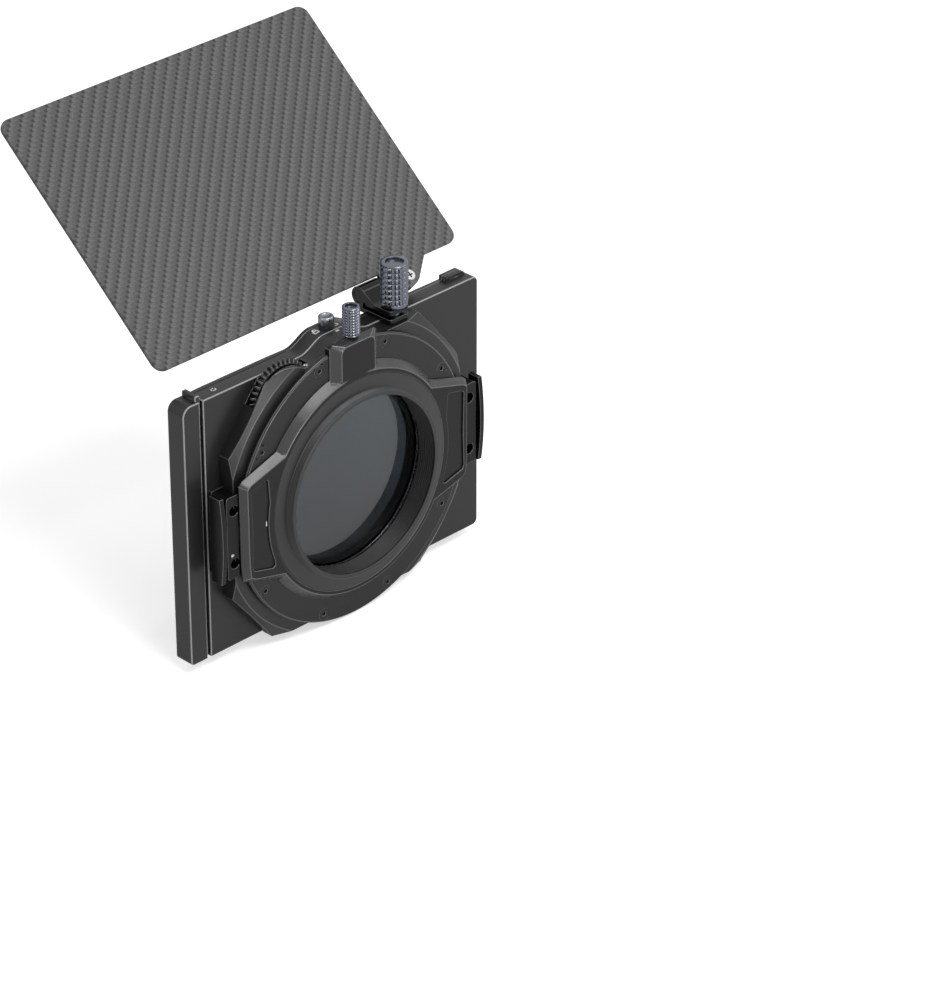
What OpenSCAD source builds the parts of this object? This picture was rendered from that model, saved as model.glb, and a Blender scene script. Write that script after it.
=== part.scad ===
// Clip-on matte box: a shallow filter stage with a side-loading tray, a variable
// density module turned by a thumbwheel, a quick-release collar that clamps on an
// adapter ring, and a tilting sunshade flag.
// Millimetres. The lens axis is Y, the front faces -Y, up is +Z, and Y = 0 is the
// rear face of the collar, where the lens rim comes to rest.

/* [Filter and tray] */
// Width of the glass filter in the tray
filter_w = 143.5; // [120:0.5:172]
// Height of the glass filter in the tray
filter_h = 101.6; // [100:0.5:122]
// Thickness of the glass filter
filter_t = 4; // [3.4:0.1:4.8]
// Thickness of the tray lips that hold the glass, front and back
tray_lip_t = 0.4; // [0.35:0.05:0.5]
// How far the tray lips reach over the glass
tray_lip_w = 1.5; // [1.2:0.1:2]
// Thickness of the tray rails, seen from the front
tray_rail = 1.2; // [1:0.1:1.5]

/* [Filter stage] */
// Wall of the stage round the tray, top and bottom
stage_wall = 3; // [2.6:0.1:3.6]
// Thickness of the front plate
front_t = 2; // [1.7:0.1:2.4]
// Thickness of the stage's back panel
back_t = 1.8; // [1.8:0.1:2.2]
// Height of the stage's middle above the lens axis
stage_rise = 0.5; // [0:0.1:1]
// Width of the window in the front plate
window_w = 122; // [104:1:126]
// Height of the window in the front plate
window_h = 96; // [80:1:97]
// Width of the tray handle that closes the stage's side
handle_w = 9.5; // [9:0.1:11.4]
// Height of the hump over the middle of the stage
hump_rise = 4.65; // [4:0.05:5.5]

/* [Variable density module] */
// Depth of the module housing
nd_d = 7.5; // [7.2:0.1:9]
// Height of the module housing above the lens axis
nd_top = 55.3; // [54:0.1:55.3]
// Half width of the module housing
nd_side = 59.6; // [59.4:0.1:60.2]
// Radius of the clear opening through the turning filter
clear_r = 35.3; // [29.5:0.1:35.5]
// Tooth size of the gear pair: pitch diameter over tooth count
gear_module = 0.75; // [0.74:0.01:0.76]
// Number of teeth that a whole circle of the filter ring would have
ring_teeth = 102; // [98:1:104]
// Number of teeth on the thumbwheel
wheel_teeth = 40; // [38:1:42]
// Direction of the thumbwheel from the lens axis, up from the left
wheel_angle = 55.4; // [52:0.1:58]

/* [Rear cover and collar] */
// Radius of the round rear cover
cover_r = 59.1; // [58.6:0.1:59.3]
// Thickness of the rear cover's rim
cover_t = 2.4; // [2.2:0.1:2.8]
// Radius of the circle that the cover screws stand on
cover_screw_r = 55.5; // [55:0.1:55.8]
// Bore radius of the collar
collar_bore_r = 44.4; // [44:0.1:44.6]
// Height of the collar above the rear cover
collar_t = 3.3; // [3:0.1:4]
// Major radius of the adapter ring's lens thread
thread_r = 38.4; // [38:0.1:39.5]
// Length of the adapter ring's lens thread
thread_len = 3.5; // [2.5:0.1:4.2]

/* [Flag] */
// Width of the flag
flag_w = 154.5; // [120:0.5:186]
// Depth of the flag
flag_len = 112; // [90:1:135]
// Thickness of the flag
flag_t = 1.6; // [1.3:0.1:2]
// Corner radius of the flag
flag_corner = 4.5; // [4:0.5:10]
// Rise of the flag above level at rest
flag_pitch = 40; // [0:1:60]
// Radius of the hinge shaft
hinge_r = 2.85; // [2.4:0.05:3]
// Wall of the hinge barrel round the shaft
barrel_wall = 1.1; // [1:0.1:1.4]

/* [Knobs] */
// Radius of the tall flag knob
flag_knob_r = 5.35; // [4.5:0.05:6.4]
// Height of the tall flag knob
flag_knob_h = 18.8; // [14:0.1:20]
// Radius of the collar's clamp knob
clamp_knob_r = 3.45; // [3:0.05:4.1]
// Height of the collar's clamp knob
clamp_knob_h = 12.2; // [10:0.1:14.5]
// Radius of the tray lock knob
lock_knob_r = 3.1; // [2.6:0.05:3.7]
// Height of the tray lock knob
lock_knob_h = 4.5; // [3.8:0.1:5.4]

/* [Side latches] */
// Half height of the latch's finger plate
latch_half_h = 18.3; // [16:0.1:21]
// Inward travel of the latch
latch_travel = 1; // [0.9:0.05:1]

/* [Clearances] */
// Radial clearance of turning fits
run_gap = 0.05; // [0.03:0.01:0.1]
// Clearance of sliding parts, each side
slide_gap = 0.15; // [0.1:0.01:0.2]
// Clearance between parts that are screwed or laid together
fit_gap = 0.05; // [0.03:0.01:0.1]
// Play between gear teeth along the pitch circle
backlash = 0.16; // [0.12:0.01:0.25]

/* [Hidden] */
$fn = 64;
eps = 0.01;
head_sink = 0.05;

// Depth planes, from the collar's rear face to the front
collar_y = -collar_t;
nd_y1 = collar_y - cover_t;
nd_y0 = nd_y1 - nd_d;
back_y = nd_y0 - back_t;
tray_t = filter_t + 2 * tray_lip_t;
slot_gap = 0.1;
slot_y = back_y - tray_t - 2 * slot_gap;
front_y = slot_y - front_t;
tray_y0 = slot_y + slot_gap;
tray_y1 = back_y - slot_gap;

// Countersunk screws: head radius, head height, shank radius, length, socket radius
front_screw = [1.45, 0.6, 0.8, front_t + tray_t / 2 - 0.2, 0.5];
stage_screw = [2.6, 1.3, 1.5, 5, 0.9];
handle_screw = [1.9, 1, 1, 7.4, 0.6];
bracket_screw = [2.2, 1.2, 1.25, 4.5, 0.8];
cover_screw = [2.6, 1.4, 1.25, cover_t + 2.15, 1];
// Cheese-head latch screw: head radius, shank radius, socket radius
latch_screw = [1.9, 1, 0.9];

// Stage outline
glass_gap = 0.1;
slot_half_h = filter_h / 2 + glass_gap + tray_rail + slide_gap;
stage_top = stage_rise + slot_half_h + stage_wall;
stage_bottom = stage_rise - slot_half_h - stage_wall;
side_wall = 3.05;
side_margin = 4.5;
stage_half_w = filter_w / 2 + side_margin;
slot_x0 = -stage_half_w + side_wall;
handle_x = stage_half_w - handle_w;
body_x = handle_x - 0.35;
hump_top = max(stage_top, nd_top) + hump_rise;
hump_flat = 5;
hump_base = 18;
hump_steps = 10;
rest_block_x = stage_half_w - 12.65;
rest_block_end = stage_half_w - 3.25;
rest_block_top = stage_top + 1.75;
rest_block_y = front_y + 4.3;
window_r = 4;
back_window_r = 40;
stage_corner_r = 2.5;

// Turning filter, thumbwheel and their pockets
nd_floor = 0.9;
ring_y0 = nd_y0 + nd_floor + 0.1;
ring_y1 = nd_y1 - 2.8;
ring_pitch_r = gear_module * ring_teeth / 2;
wheel_pitch_r = gear_module * wheel_teeth / 2;
ring_rim_r = ring_pitch_r + gear_module;
wheel_tip_r = wheel_pitch_r + gear_module;
centre_dist = ring_pitch_r + wheel_pitch_r;
wheel_x = centre_dist * cos(wheel_angle);
wheel_z = centre_dist * sin(wheel_angle);
wheel_y0 = nd_y0 + 0.7;
wheel_bore_r = 1.56;
axle_r = 1.5;
wheel_slot_r = wheel_tip_r + 0.55;
toothed_from = -4;
toothed_to = 29;
nd_glass_r = clear_r + 1;
nd_glass_t = 1.6;
ring_lip_t = 0.8;
nd_clip_t = 0.9;
cell_y0 = ring_y1 + 0.2;
dish_r = 48.5;
dish_pocket_y = cell_y0 - 0.1;
nd_corner_x = 39.6;
nd_corner_z = 30.3;
nd_cone_rear_r = 63.5;
nd_cone_front_r = 67.5;
nd_cone_d = 2.5;
wheel_boss_r = 14;

// Rear cover, its glass and the collar's spigot
spigot_wall = 3;
spigot_r = collar_bore_r + spigot_wall;
cover_bore_r = spigot_r + fit_gap;
spigot_y = nd_y1 - 0.8;
cell_y1 = spigot_y - 0.1;
fixed_glass_r = 38;
fixed_glass_t = 1;
cell_lip_t = 0.4;
cell_clear_r = 36;
collar_lip_r = 42.5;
collar_lip_t = 0.6;
collar_base_r = 48.9;
collar_top_r = 46.1;
cover_screw_angles = [32.6, 72.15];
cover_screw_tip = collar_y - head_sink - cover_screw[3];

// Collar lug, clamp screw and shoe
lug_half_w = 12.2;
lug_face_half_w = 8.6;
lug_top = hump_top + 1.1;
lug_face_top = lug_top - 1.3;
lug_low = 46;
clamp_y = -3.9;
clamp_screw_r = 1.45;
clamp_tip_r = 0.9;
shoe_half_w = 4;
shoe_half_d = 1.7;
shoe_top = collar_bore_r + 3;
shoe_lift = 1.5;
groove_d = 1.4;
groove_half = 1.35;
adapter_r = collar_bore_r - run_gap;
adapter_bore_r = thread_r - 1.9;
adapter_y0 = spigot_y + collar_lip_t + 0.05;

// Wings of the collar, as base and face outlines of the left one
wing_base = [[40, -27], [46.6, -24.1], [55.1, -22], [58.4, -20.4], [59.2, -14],
    [58.3, 0], [59.2, 14], [59.4, 20.6], [57.6, 22.3], [46, 26], [40, 28]];
wing_face = [[38, -24.2], [46, -22], [54.4, -20], [56.6, -18.6], [57.2, -12.8],
    [56.4, 0], [57.2, 12.8], [57.4, 19.4], [55.6, 20.8], [45.9, 23.7], [38, 26]];
recess_d = 0.7;
recess = [[47, 19.2], [47.6, 20], [54.8, 18.2], [55.6, 17.2], [55.2, 0], [55.6, -14.6],
    [54.9, -16.3], [45.6, -18.8], [44.4, -18.2]];

// Side latches, with sizes for the left one
lug_x1 = 65.4;
latch_block_x0 = nd_side + 0.2;
latch_block_half_h = 17.6;
latch_block_y1 = collar_y + 0.1;
latch_foot_y = nd_y0 + 2;
ear_x = 66.7;
ear_t = 2;
ear_y0 = nd_y0 + 4.4;
ear_end_y = -3.3;
ear_mid_y = -1.9;
slider_y0 = ear_y0;
slider_y1 = slider_y0 + 2;
slider_half_h = 8;
slider_x0 = 53.6;
leg_x0 = 55.6;
leg_x1 = 57.8;
leg_half_h = 4;
leg_end_y = slider_y0 - 1.2;
leg_notch = 0.85;
latch_bite = 0.7;
slider_window_x1 = leg_x1 + latch_travel + 0.2;
latch_screw_x = 61.8;
latch_screw_z = 11.3;
latch_head_y = latch_foot_y + 1.85;
spring_x0 = slider_x0 - 4;
spring_r = 1.2;
spring_wire = 0.4;
spring_turns = 4;

// Flag hinge, in stage coordinates
hinge_y = front_y - 2.2;
hinge_z = stage_top + 6.15;
barrel_r = hinge_r + run_gap + barrel_wall;
bracket_x0 = -33.7;
bracket_x1 = -23.3;
bracket_mid_x = (bracket_x0 + bracket_x1) / 2;
jaw_y = nd_y0 + 6.2;
jaw_base_t = 1.95;
jaw_slit = 1.6;
jaw_top_z = hinge_z - 0.6;
stud_r = 2;
base_z = stage_top;
knob_y = nd_y0 + 3.2;
bracket_screw_y = (slot_y + nd_y0) / 2;
bracket_screw_dx = 2.7;

// Flag and tab, measured from the hinge axis in the flag's own plane
flag_near = 3.7;
flag_face = 3.7;
jaw_foot_y = hinge_y - flag_face + flag_t + 0.3;
tab_x0 = -58.5;
tab_x1 = -34.2;
tab_low_x0 = -50.2;
tab_low = 6.15;
tab_r = 2;
arm_plate_t = 2.2;
flag_screw_xs = [-47.3, -38.2];
flag_screw_y = 1.4;
flag_screw_r = 1.25;
flag_screw_head_r = 2.25;
flag_screw_head_h = 1;
flag_screw_len = 3.5;
flag_screw_slot = 0.6;

// Places a plate outline drawn as (x, z) between two depths
module along_y(y0, y1) {
    translate([0, y1, 0]) rotate([90, 0, 0]) linear_extrude(y1 - y0) children();
}

// Turns a profile drawn as (radius, y) about the lens axis
module spin_y() {
    rotate([-90, 0, 0]) rotate_extrude($fn = 128) children();
}

// A round bar along Y
module bar_y(r, y0, y1, x = 0, z = 0) {
    translate([x, y0, z]) rotate([-90, 0, 0]) cylinder(r = r, h = y1 - y0);
}

// A box given by its two corners
module block(low, high) {
    translate(low) cube([for (i = [0:2]) high[i] - low[i]]);
}

// Draws its children and their mirror image on the other side of the lens axis
module both_sides() {
    children();
    mirror([1, 0, 0]) children();
}

// A countersunk screw up +Z: the head's face at 0, the shank above it
module screw(s) {
    socket_d = s[1] * 0.7;
    difference() {
        union() {
            cylinder(r1 = s[0], r2 = s[2], h = s[1]);
            cylinder(r = s[2], h = s[3]);
        }
        translate([0, 0, -eps]) cylinder(r = s[4], h = socket_d + eps, $fn = 6);
    }
}

// The hole that such a screw sits in, with its mouth open at the head
module screw_seat(s) {
    mouth = 1;
    tip_room = 0.2;
    translate([0, 0, -mouth]) cylinder(r = s[0] + 2 * fit_gap, h = mouth);
    cylinder(r1 = s[0] + 2 * fit_gap, r2 = s[2] + 2 * fit_gap, h = s[1]);
    cylinder(r = s[2] + fit_gap, h = s[3] + tip_room);
}

// The same screw and hole along +Y, sunk a little below the face they are placed on
module screw_y(s) {
    translate([0, head_sink, 0]) rotate([-90, 0, 0]) screw(s);
}

module screw_seat_y(s) {
    translate([0, head_sink, 0]) rotate([-90, 0, 0]) screw_seat(s);
}

// Rounded rectangle centred on the origin
module round_rect(w, h, r) {
    hx = w / 2 - r;
    hy = h / 2 - r;
    union() {
        square([w, h - 2 * r], center = true);
        square([w - 2 * r, h], center = true);
        for (x = [-hx, hx], y = [-hy, hy]) translate([x, y]) circle(r = r, $fn = 32);
    }
}

// Hump in the middle of a layer whose flat top is at base, from its right foot to its left
function hump_points(base) = [
    for (s = [1, -1], i = [0:hump_steps]) let (t = s > 0 ? i / hump_steps : 1 - i / hump_steps)
        [s * (hump_base - (hump_base - hump_flat) * t),
         base + (hump_top - base) * (0.5 - 0.5 * cos(180 * t))]
];

// Outline of the stage without its tray handle
module stage_outline() {
    r = stage_corner_r;
    difference() {
        union() {
            translate([-stage_half_w, stage_bottom])
                square([stage_half_w + body_x, stage_top - stage_bottom]);
            polygon(concat([[-hump_base, stage_top - 1], [hump_base, stage_top - 1]],
                hump_points(stage_top)));
        }
        for (c = [[stage_top, 1], [stage_bottom, -1]])
            translate([-stage_half_w + r, c[0] - c[1] * r]) difference() {
                translate([-r - 1, c[1] > 0 ? 0 : -r - 1]) square([r + 1, r + 1]);
                circle(r = r, $fn = 48);
            }
    }
}

// Raised rest block at the stage's right end, as an outline
module rest_block_outline() {
    polygon([[-rest_block_end - 1.9, stage_top - 0.9], [-rest_block_x, stage_top - 0.9],
        [-rest_block_x, rest_block_top - 0.4], [-rest_block_x - 0.4, rest_block_top],
        [-rest_block_end + 0.6, rest_block_top], [-rest_block_end - 0.8, stage_top + 0.7]]);
}

front_screw_zs = [stage_top - stage_wall / 2, stage_bottom + stage_wall / 2];
front_screw_xs = [for (i = [0:4]) slot_x0 + 6 + i * (body_x - slot_x0 - 12) / 4];

module front_screw_places() {
    for (x = front_screw_xs, z = front_screw_zs) translate([x, front_y, z]) children();
}

// Front plate of the filter stage
module front_plate() {
    color("#262626") difference() {
        along_y(front_y, slot_y) union() {
            stage_outline();
            rest_block_outline();
        }
        translate([0, 0, stage_rise]) along_y(front_y - 1, slot_y + 1)
            round_rect(window_w, window_h, window_r);
        front_screw_places() screw_seat_y(front_screw);
    }
}

// Ten small screws that hold the front plate on the stage body
module front_screws() {
    color("#1a1a1a") front_screw_places() screw_y(front_screw);
}

stage_screw_places = [for (x = [-50, 50], z = [-22, 22]) [x, z]];

// Stage body: walls, back panel and hump, open to the front and to the left
module stage_body() {
    color("#2b2b2b") difference() {
        union() {
            along_y(slot_y, nd_y0) stage_outline();
            along_y(slot_y, rest_block_y) rest_block_outline();
        }
        block([slot_x0, slot_y - 1, stage_rise - slot_half_h],
            [stage_half_w, back_y, stage_rise + slot_half_h]);
        bar_y(back_window_r, back_y - 1, nd_y0 + 1);
        front_screw_places() screw_seat_y(front_screw);
        for (p = stage_screw_places) translate([p[0], back_y, p[1]])
            screw_seat_y(stage_screw);
        lock_bore();
        leaf_recess();
        bracket_screw_places() screw_seat(bracket_screw);
    }
}

module stage_screws() {
    color("#1a1a1a") for (p = stage_screw_places) translate([p[0], back_y, p[1]])
        screw_y(stage_screw);
}

// Leaf spring that drags lightly on the tray's lower rail
leaf_half = 14;
leaf_d = 2;
leaf_t = 0.25;
leaf_recess_d = 1;
leaf_x = -30;
leaf_y = back_y - 0.2 - leaf_d / 2;
leaf_floor = stage_rise - slot_half_h;
leaf_bow_r = (leaf_half * leaf_half + 0.8 * 0.8) / (2 * 0.8);

module leaf_recess() {
    block([leaf_x - leaf_half - 1, leaf_y - leaf_d / 2 - 0.2, leaf_floor - leaf_recess_d],
        [leaf_x + leaf_half + 1, leaf_y + leaf_d / 2 + 0.2, leaf_floor + 1]);
}

module tray_leaf_spring() {
    bow_top = leaf_floor + slide_gap - 0.05;
    color("#b8bcc2") along_y(leaf_y - leaf_d / 2, leaf_y + leaf_d / 2) intersection() {
        translate([leaf_x - leaf_half, leaf_floor - leaf_recess_d])
            square([2 * leaf_half, 3]);
        translate([leaf_x, bow_top - leaf_bow_r]) difference() {
            circle(r = leaf_bow_r, $fn = 256);
            circle(r = leaf_bow_r - leaf_t, $fn = 256);
        }
    }
}

// Tray: two grooved rails and an end bar that hold the glass on three sides
tray_x0 = -filter_w / 2 - glass_gap - tray_rail;
tray_x1 = stage_half_w - 2.3;
tray_half_h = filter_h / 2 + glass_gap + tray_rail;
tongue_half_h = tray_half_h + 1.6;
tongue_x = handle_x + 0.4;
glass_y0 = tray_y0 + tray_lip_t;
glass_y1 = glass_y0 + filter_t;

module filter_tray() {
    color("#3a3d42") difference() {
        union() {
            block([tray_x0, tray_y0, stage_rise - tray_half_h],
                [tray_x1, tray_y1, stage_rise + tray_half_h]);
            for (s = [-1, 1]) block(
                [tongue_x, tray_y0, stage_rise + min(s * tongue_half_h, s * (tray_half_h - 1))],
                [tray_x1, tray_y1, stage_rise + max(s * tongue_half_h, s * (tray_half_h - 1))]);
        }
        block([-filter_w / 2 - glass_gap, glass_y0, stage_rise - filter_h / 2 - glass_gap],
            [stage_half_w, glass_y1, stage_rise + filter_h / 2 + glass_gap]);
        block([-filter_w / 2 + tray_lip_w, tray_y0 - 1, stage_rise - filter_h / 2 + tray_lip_w],
            [stage_half_w, tray_y1 + 1, stage_rise + filter_h / 2 - tray_lip_w]);
        for (z = tray_screw_zs)
            bar_y(handle_screw[2] + fit_gap, tray_y0 - 1, tray_y1 + 1, tray_screw_x, z);
    }
}

module filter_glass() {
    color("#30343a", 0.5) along_y(glass_y0, glass_y1) translate([0, stage_rise])
        round_rect(filter_w, filter_h, 0.8);
}

// Handle: closes the stage's side and carries the finger rib on its top
tray_screw_x = tray_x1 - 2.6;
tray_screw_zs = [for (s = [-1, 1]) stage_rise + s * (tongue_half_h - 1.5)];
rib_w = 2.3;
rib_rise = 2;
handle_r = 4;
handle_foot_r = 1.5;
handle_step = 1.3;

module rib_outline() {
    polygon([[handle_x, stage_top - 1], [handle_x + rib_w, stage_top - 1],
        [handle_x + rib_w, stage_top + rib_rise - 0.3],
        [handle_x + rib_w - 0.3, stage_top + rib_rise], [handle_x + 0.5, stage_top + rib_rise],
        [handle_x, stage_top + rib_rise - 0.5]]);
}

module handle_outline() {
    difference() {
        translate([handle_x, stage_bottom]) square([handle_w, stage_top - stage_bottom]);
        translate([stage_half_w - handle_r, stage_top - handle_r]) difference() {
            square([handle_r + 1, handle_r + 1]);
            circle(r = handle_r, $fn = 64);
        }
        translate([stage_half_w - handle_foot_r, stage_bottom + handle_foot_r]) difference() {
            translate([0, -handle_foot_r - 1]) square([handle_foot_r + 1, handle_foot_r + 1]);
            circle(r = handle_foot_r, $fn = 48);
        }
    }
}

module tray_handle() {
    g = fit_gap;
    color("#2b2b2b") difference() {
        union() {
            along_y(front_y, nd_y0) handle_outline();
            along_y(front_y, nd_y0 - handle_step) rib_outline();
        }
        block([handle_x - 1, nd_y0 - handle_step, stage_bottom - 1],
            [handle_x + handle_step, nd_y0 + 1, stage_top + 1]);
        block([handle_x - 1, glass_y0 - g, stage_rise - filter_h / 2 - g],
            [filter_w / 2 + glass_gap, glass_y1 + g, stage_rise + filter_h / 2 + g]);
        for (s = [-1, 1]) block([handle_x - 1, tray_y0 - g,
                stage_rise + min(s * (tongue_half_h + g), s * (filter_h / 2 - tray_lip_w - 0.3))],
            [tray_x1 + g, tray_y1 + g,
                stage_rise + max(s * (tongue_half_h + g), s * (filter_h / 2 - tray_lip_w - 0.3))]);
        for (z = tray_screw_zs) translate([tray_screw_x, front_y, z])
            screw_seat_y(handle_screw);
    }
}

module tray_screws() {
    color("#1a1a1a") for (z = tray_screw_zs) translate([tray_screw_x, front_y, z])
        screw_y(handle_screw);
}

// Lock knob: its screw comes down through the hump on to the tray's upper rail
lock_y = (front_y + nd_y0) / 2;
lock_screw_r = 1.5;
lock_bush_r = 2.2;
lock_bush_d = 2.4;
lock_flange_r = 2.6;
lock_flange_t = 0.35;
lock_foot_z = stage_rise + tray_half_h + 0.05;

module lock_bore() {
    translate([0, lock_y, hump_top - lock_bush_d])
        cylinder(r = lock_bush_r + fit_gap, h = lock_bush_d + 2);
    translate([0, lock_y, stage_rise]) cylinder(r = lock_screw_r + 0.25, h = hump_top);
}

module lock_bush() {
    color("#8d9096") translate([0, lock_y, hump_top - lock_bush_d]) difference() {
        union() {
            cylinder(r = lock_bush_r, h = lock_bush_d);
            translate([0, 0, lock_bush_d]) cylinder(r = lock_flange_r, h = lock_flange_t);
        }
        translate([0, 0, -1]) cylinder(r = lock_screw_r + run_gap, h = lock_bush_d + 3);
    }
}

module lock_knob() {
    z0 = hump_top + lock_flange_t + 0.1;
    r = lock_knob_r;
    h = lock_knob_h - lock_flange_t;
    color("#3c4046") translate([0, lock_y, 0]) union() {
        translate([0, 0, z0]) rotate_extrude() polygon([[0, 0], [r - 0.5, 0], [r, 0.5],
            [r, h - 0.9], [r - 0.6, h - 0.1], [r - 1.1, h], [1.5, h], [1.1, h - 0.45],
            [0, h - 0.6]]);
        translate([0, 0, lock_foot_z]) rotate_extrude() polygon([[0, 0],
            [lock_screw_r - 0.4, 0], [lock_screw_r, 0.4],
            [lock_screw_r, z0 - lock_foot_z + 0.5], [0, z0 - lock_foot_z + 0.5]]);
    }
}

// Outline of the module housing
module nd_outline() {
    polygon([[-nd_corner_x, nd_top], [-nd_side, nd_corner_z], [-nd_side, -nd_corner_z],
        [-nd_corner_x, -nd_top], [nd_corner_x, -nd_top], [nd_side, -nd_corner_z],
        [nd_side, nd_corner_z], [nd_corner_x, nd_top]]);
    polygon(concat([[-hump_base, nd_top - 1], [hump_base, nd_top - 1]], hump_points(nd_top)));
}

cover_screw_places = [for (a = cover_screw_angles, sx = [-1, 1], sz = [-1, 1])
    [sx * cover_screw_r * cos(a), sz * cover_screw_r * sin(a)]];

// Module housing: ring pocket, wheel slot and latch channels in one body
module nd_housing() {
    g = slide_gap;
    color("#2b2b2b") difference() {
        union() {
            intersection() {
                union() {
                    along_y(nd_y0, nd_y1) nd_outline();
                    bar_y(wheel_boss_r, ring_y1 + 0.1, nd_y1, wheel_x, wheel_z);
                }
                spin_y() polygon([[0, nd_y0 - 1], [90, nd_y0 - 1],
                    [90, nd_y1 - nd_cone_d], [nd_cone_front_r, nd_y1 - nd_cone_d],
                    [nd_cone_rear_r, nd_y1], [0, nd_y1]]);
            }
            both_sides() block([nd_side - 1, nd_y0, -latch_block_half_h],
                [lug_x1, latch_foot_y, latch_block_half_h]);
        }
        bar_y(clear_r + 0.3, nd_y0 - 1, nd_y1);
        bar_y(ring_rim_r + run_gap, nd_y0 + nd_floor, nd_y1 + 1);
        bar_y(dish_r + 0.1, dish_pocket_y, nd_y1 + 1);
        bar_y(wheel_slot_r, wheel_y0 - 0.1, dish_pocket_y, wheel_x, wheel_z);
        bar_y(axle_r + 0.02, nd_y0 - 1, nd_y1 + 1, wheel_x, wheel_z);
        both_sides() {
            block([slider_x0 - latch_travel - 0.2, slider_y0 - 0.2, -slider_half_h - g],
                [lug_x1 + 1, slider_y1 + 0.2, slider_half_h + g]);
            block([leg_x0 - 0.2, leg_end_y - 0.2, -leg_half_h - g - 0.15],
                [leg_x1 + 0.2, nd_y1 + 1, leg_half_h + g + 0.15]);
            translate([spring_x0 - 0.1, (slider_y0 + slider_y1) / 2, 0]) rotate([0, 90, 0])
                cylinder(r = spring_r + spring_wire, h = 6);
            for (z = [-latch_screw_z, latch_screw_z])
                bar_y(latch_screw[1] + fit_gap, nd_y0 + 0.3, latch_foot_y + 1, latch_screw_x, z);
        }
        for (p = cover_screw_places)
            bar_y(cover_screw[2] + fit_gap, cover_screw_tip - 0.1, nd_y1 + 1, p[0], p[1]);
        for (p = stage_screw_places)
            bar_y(stage_screw[2] + fit_gap, nd_y0 - 1,
                back_y + head_sink + stage_screw[3] + 0.25, p[0], p[1]);
    }
}

// Flank angle of a tooth at radius r, measured from the tooth's middle
function involute(a) = tan(a) * 180 / PI - a;
function flank(teeth, r) = let (pitch_r = gear_module * teeth / 2,
        base_r = pitch_r * cos(20))
    90 / teeth - backlash / 2 / pitch_r * 90 / PI + involute(20)
        - involute(acos(min(1, base_r / r)));

// Radii at which a tooth's flank is drawn
function tooth_radii(teeth) = let (p = gear_module * teeth / 2)
    [p - 1.25 * gear_module, p - 0.6 * gear_module, p, p + 0.55 * gear_module, p + gear_module];
function polar(r, a) = [r * cos(a), r * sin(a)];

// Thumbwheel, one tooth pointing at the lens axis
module thumbwheel() {
    rs = tooth_radii(wheel_teeth);
    color("#161616") along_y(wheel_y0, ring_y1) translate([wheel_x, wheel_z]) difference() {
        polygon([for (i = [0:wheel_teeth - 1]) let (mid = wheel_angle + 180 + i * 360 / wheel_teeth)
            each concat([for (r = rs) polar(r, mid - flank(wheel_teeth, r))],
                [for (k = [4:-1:0]) polar(rs[k], mid + flank(wheel_teeth, rs[k]))])]);
        circle(r = wheel_bore_r);
    }
}

module wheel_axle() {
    color("#b8bcc2") bar_y(axle_r, nd_y0 + 0.05, nd_y1 - 0.05, wheel_x, wheel_z);
}

// Gap between two ring teeth, pointing along the angle a and running out past the rim
module ring_gap(a) {
    rs = concat([for (k = [0:3]) tooth_radii(ring_teeth)[k]], [ring_rim_r + 0.1]);
    half = 180 / ring_teeth;
    polygon(concat([for (r = rs) polar(r, a - half + flank(ring_teeth, r))],
        [for (k = [4:-1:0]) polar(rs[k], a + half - flank(ring_teeth, rs[k]))]));
}

// Ring that carries the turning polariser, toothed over the part the wheel reaches
module nd_ring() {
    glass_seat = ring_y0 + ring_lip_t;
    color("#1e1f21") difference() {
        spin_y() polygon([[clear_r, ring_y0], [ring_rim_r, ring_y0], [ring_rim_r, ring_y1],
            [nd_glass_r + fit_gap, ring_y1], [nd_glass_r + fit_gap, glass_seat],
            [clear_r, glass_seat]]);
        along_y(ring_y0 - 1, ring_y1 + 1) for (k = [toothed_from:toothed_to])
            ring_gap(wheel_angle + k * 360 / ring_teeth);
    }
}

module turning_polariser() {
    y = ring_y0 + ring_lip_t;
    color("#2a2f33", 0.5) bar_y(nd_glass_r, y, y + nd_glass_t);
}

module nd_retaining_ring() {
    y = ring_y0 + ring_lip_t + nd_glass_t;
    color("#1a1a1a") difference() {
        spin_y() polygon([[clear_r, y], [nd_glass_r, y], [nd_glass_r, y + nd_clip_t],
            [clear_r, y + nd_clip_t]]);
        for (s = [-1, 1]) block([s * clear_r - 1.2, y + nd_clip_t - 0.5, -0.6],
            [s * clear_r + 1.2, y + nd_clip_t + 1, 0.6]);
    }
}

// Round rear cover with the dish that holds the fixed polariser
module rear_cover() {
    rim = 0.6;
    color("#2a2a2a") difference() {
        spin_y() polygon([[cell_clear_r, cell_y0], [dish_r, cell_y0], [dish_r, nd_y1],
            [cover_r, nd_y1], [cover_r, collar_y - rim], [cover_r - rim, collar_y],
            [cover_bore_r, collar_y], [cover_bore_r, cell_y1],
            [fixed_glass_r + fit_gap, cell_y1],
            [fixed_glass_r + fit_gap, cell_y0 + cell_lip_t],
            [cell_clear_r, cell_y0 + cell_lip_t]]);
        block([-lug_half_w - slide_gap, nd_y1 - 0.2, cover_bore_r - 2],
            [lug_half_w + slide_gap, collar_y + 1, cover_r + 5]);
        both_sides() block([leg_x0 - 0.2, nd_y1 - 1, -leg_half_h - 0.3],
            [leg_x1 + 0.2, collar_y + 1, leg_half_h + 0.3]);
        for (p = cover_screw_places) translate([p[0], collar_y, p[1]])
            rotate([0, 0, 180]) screw_seat_y(cover_screw);
    }
}

module cover_screws() {
    color("#1a1a1a") for (p = cover_screw_places)
        translate([p[0], collar_y, p[1]]) rotate([0, 0, 180]) screw_y(cover_screw);
}

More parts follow.
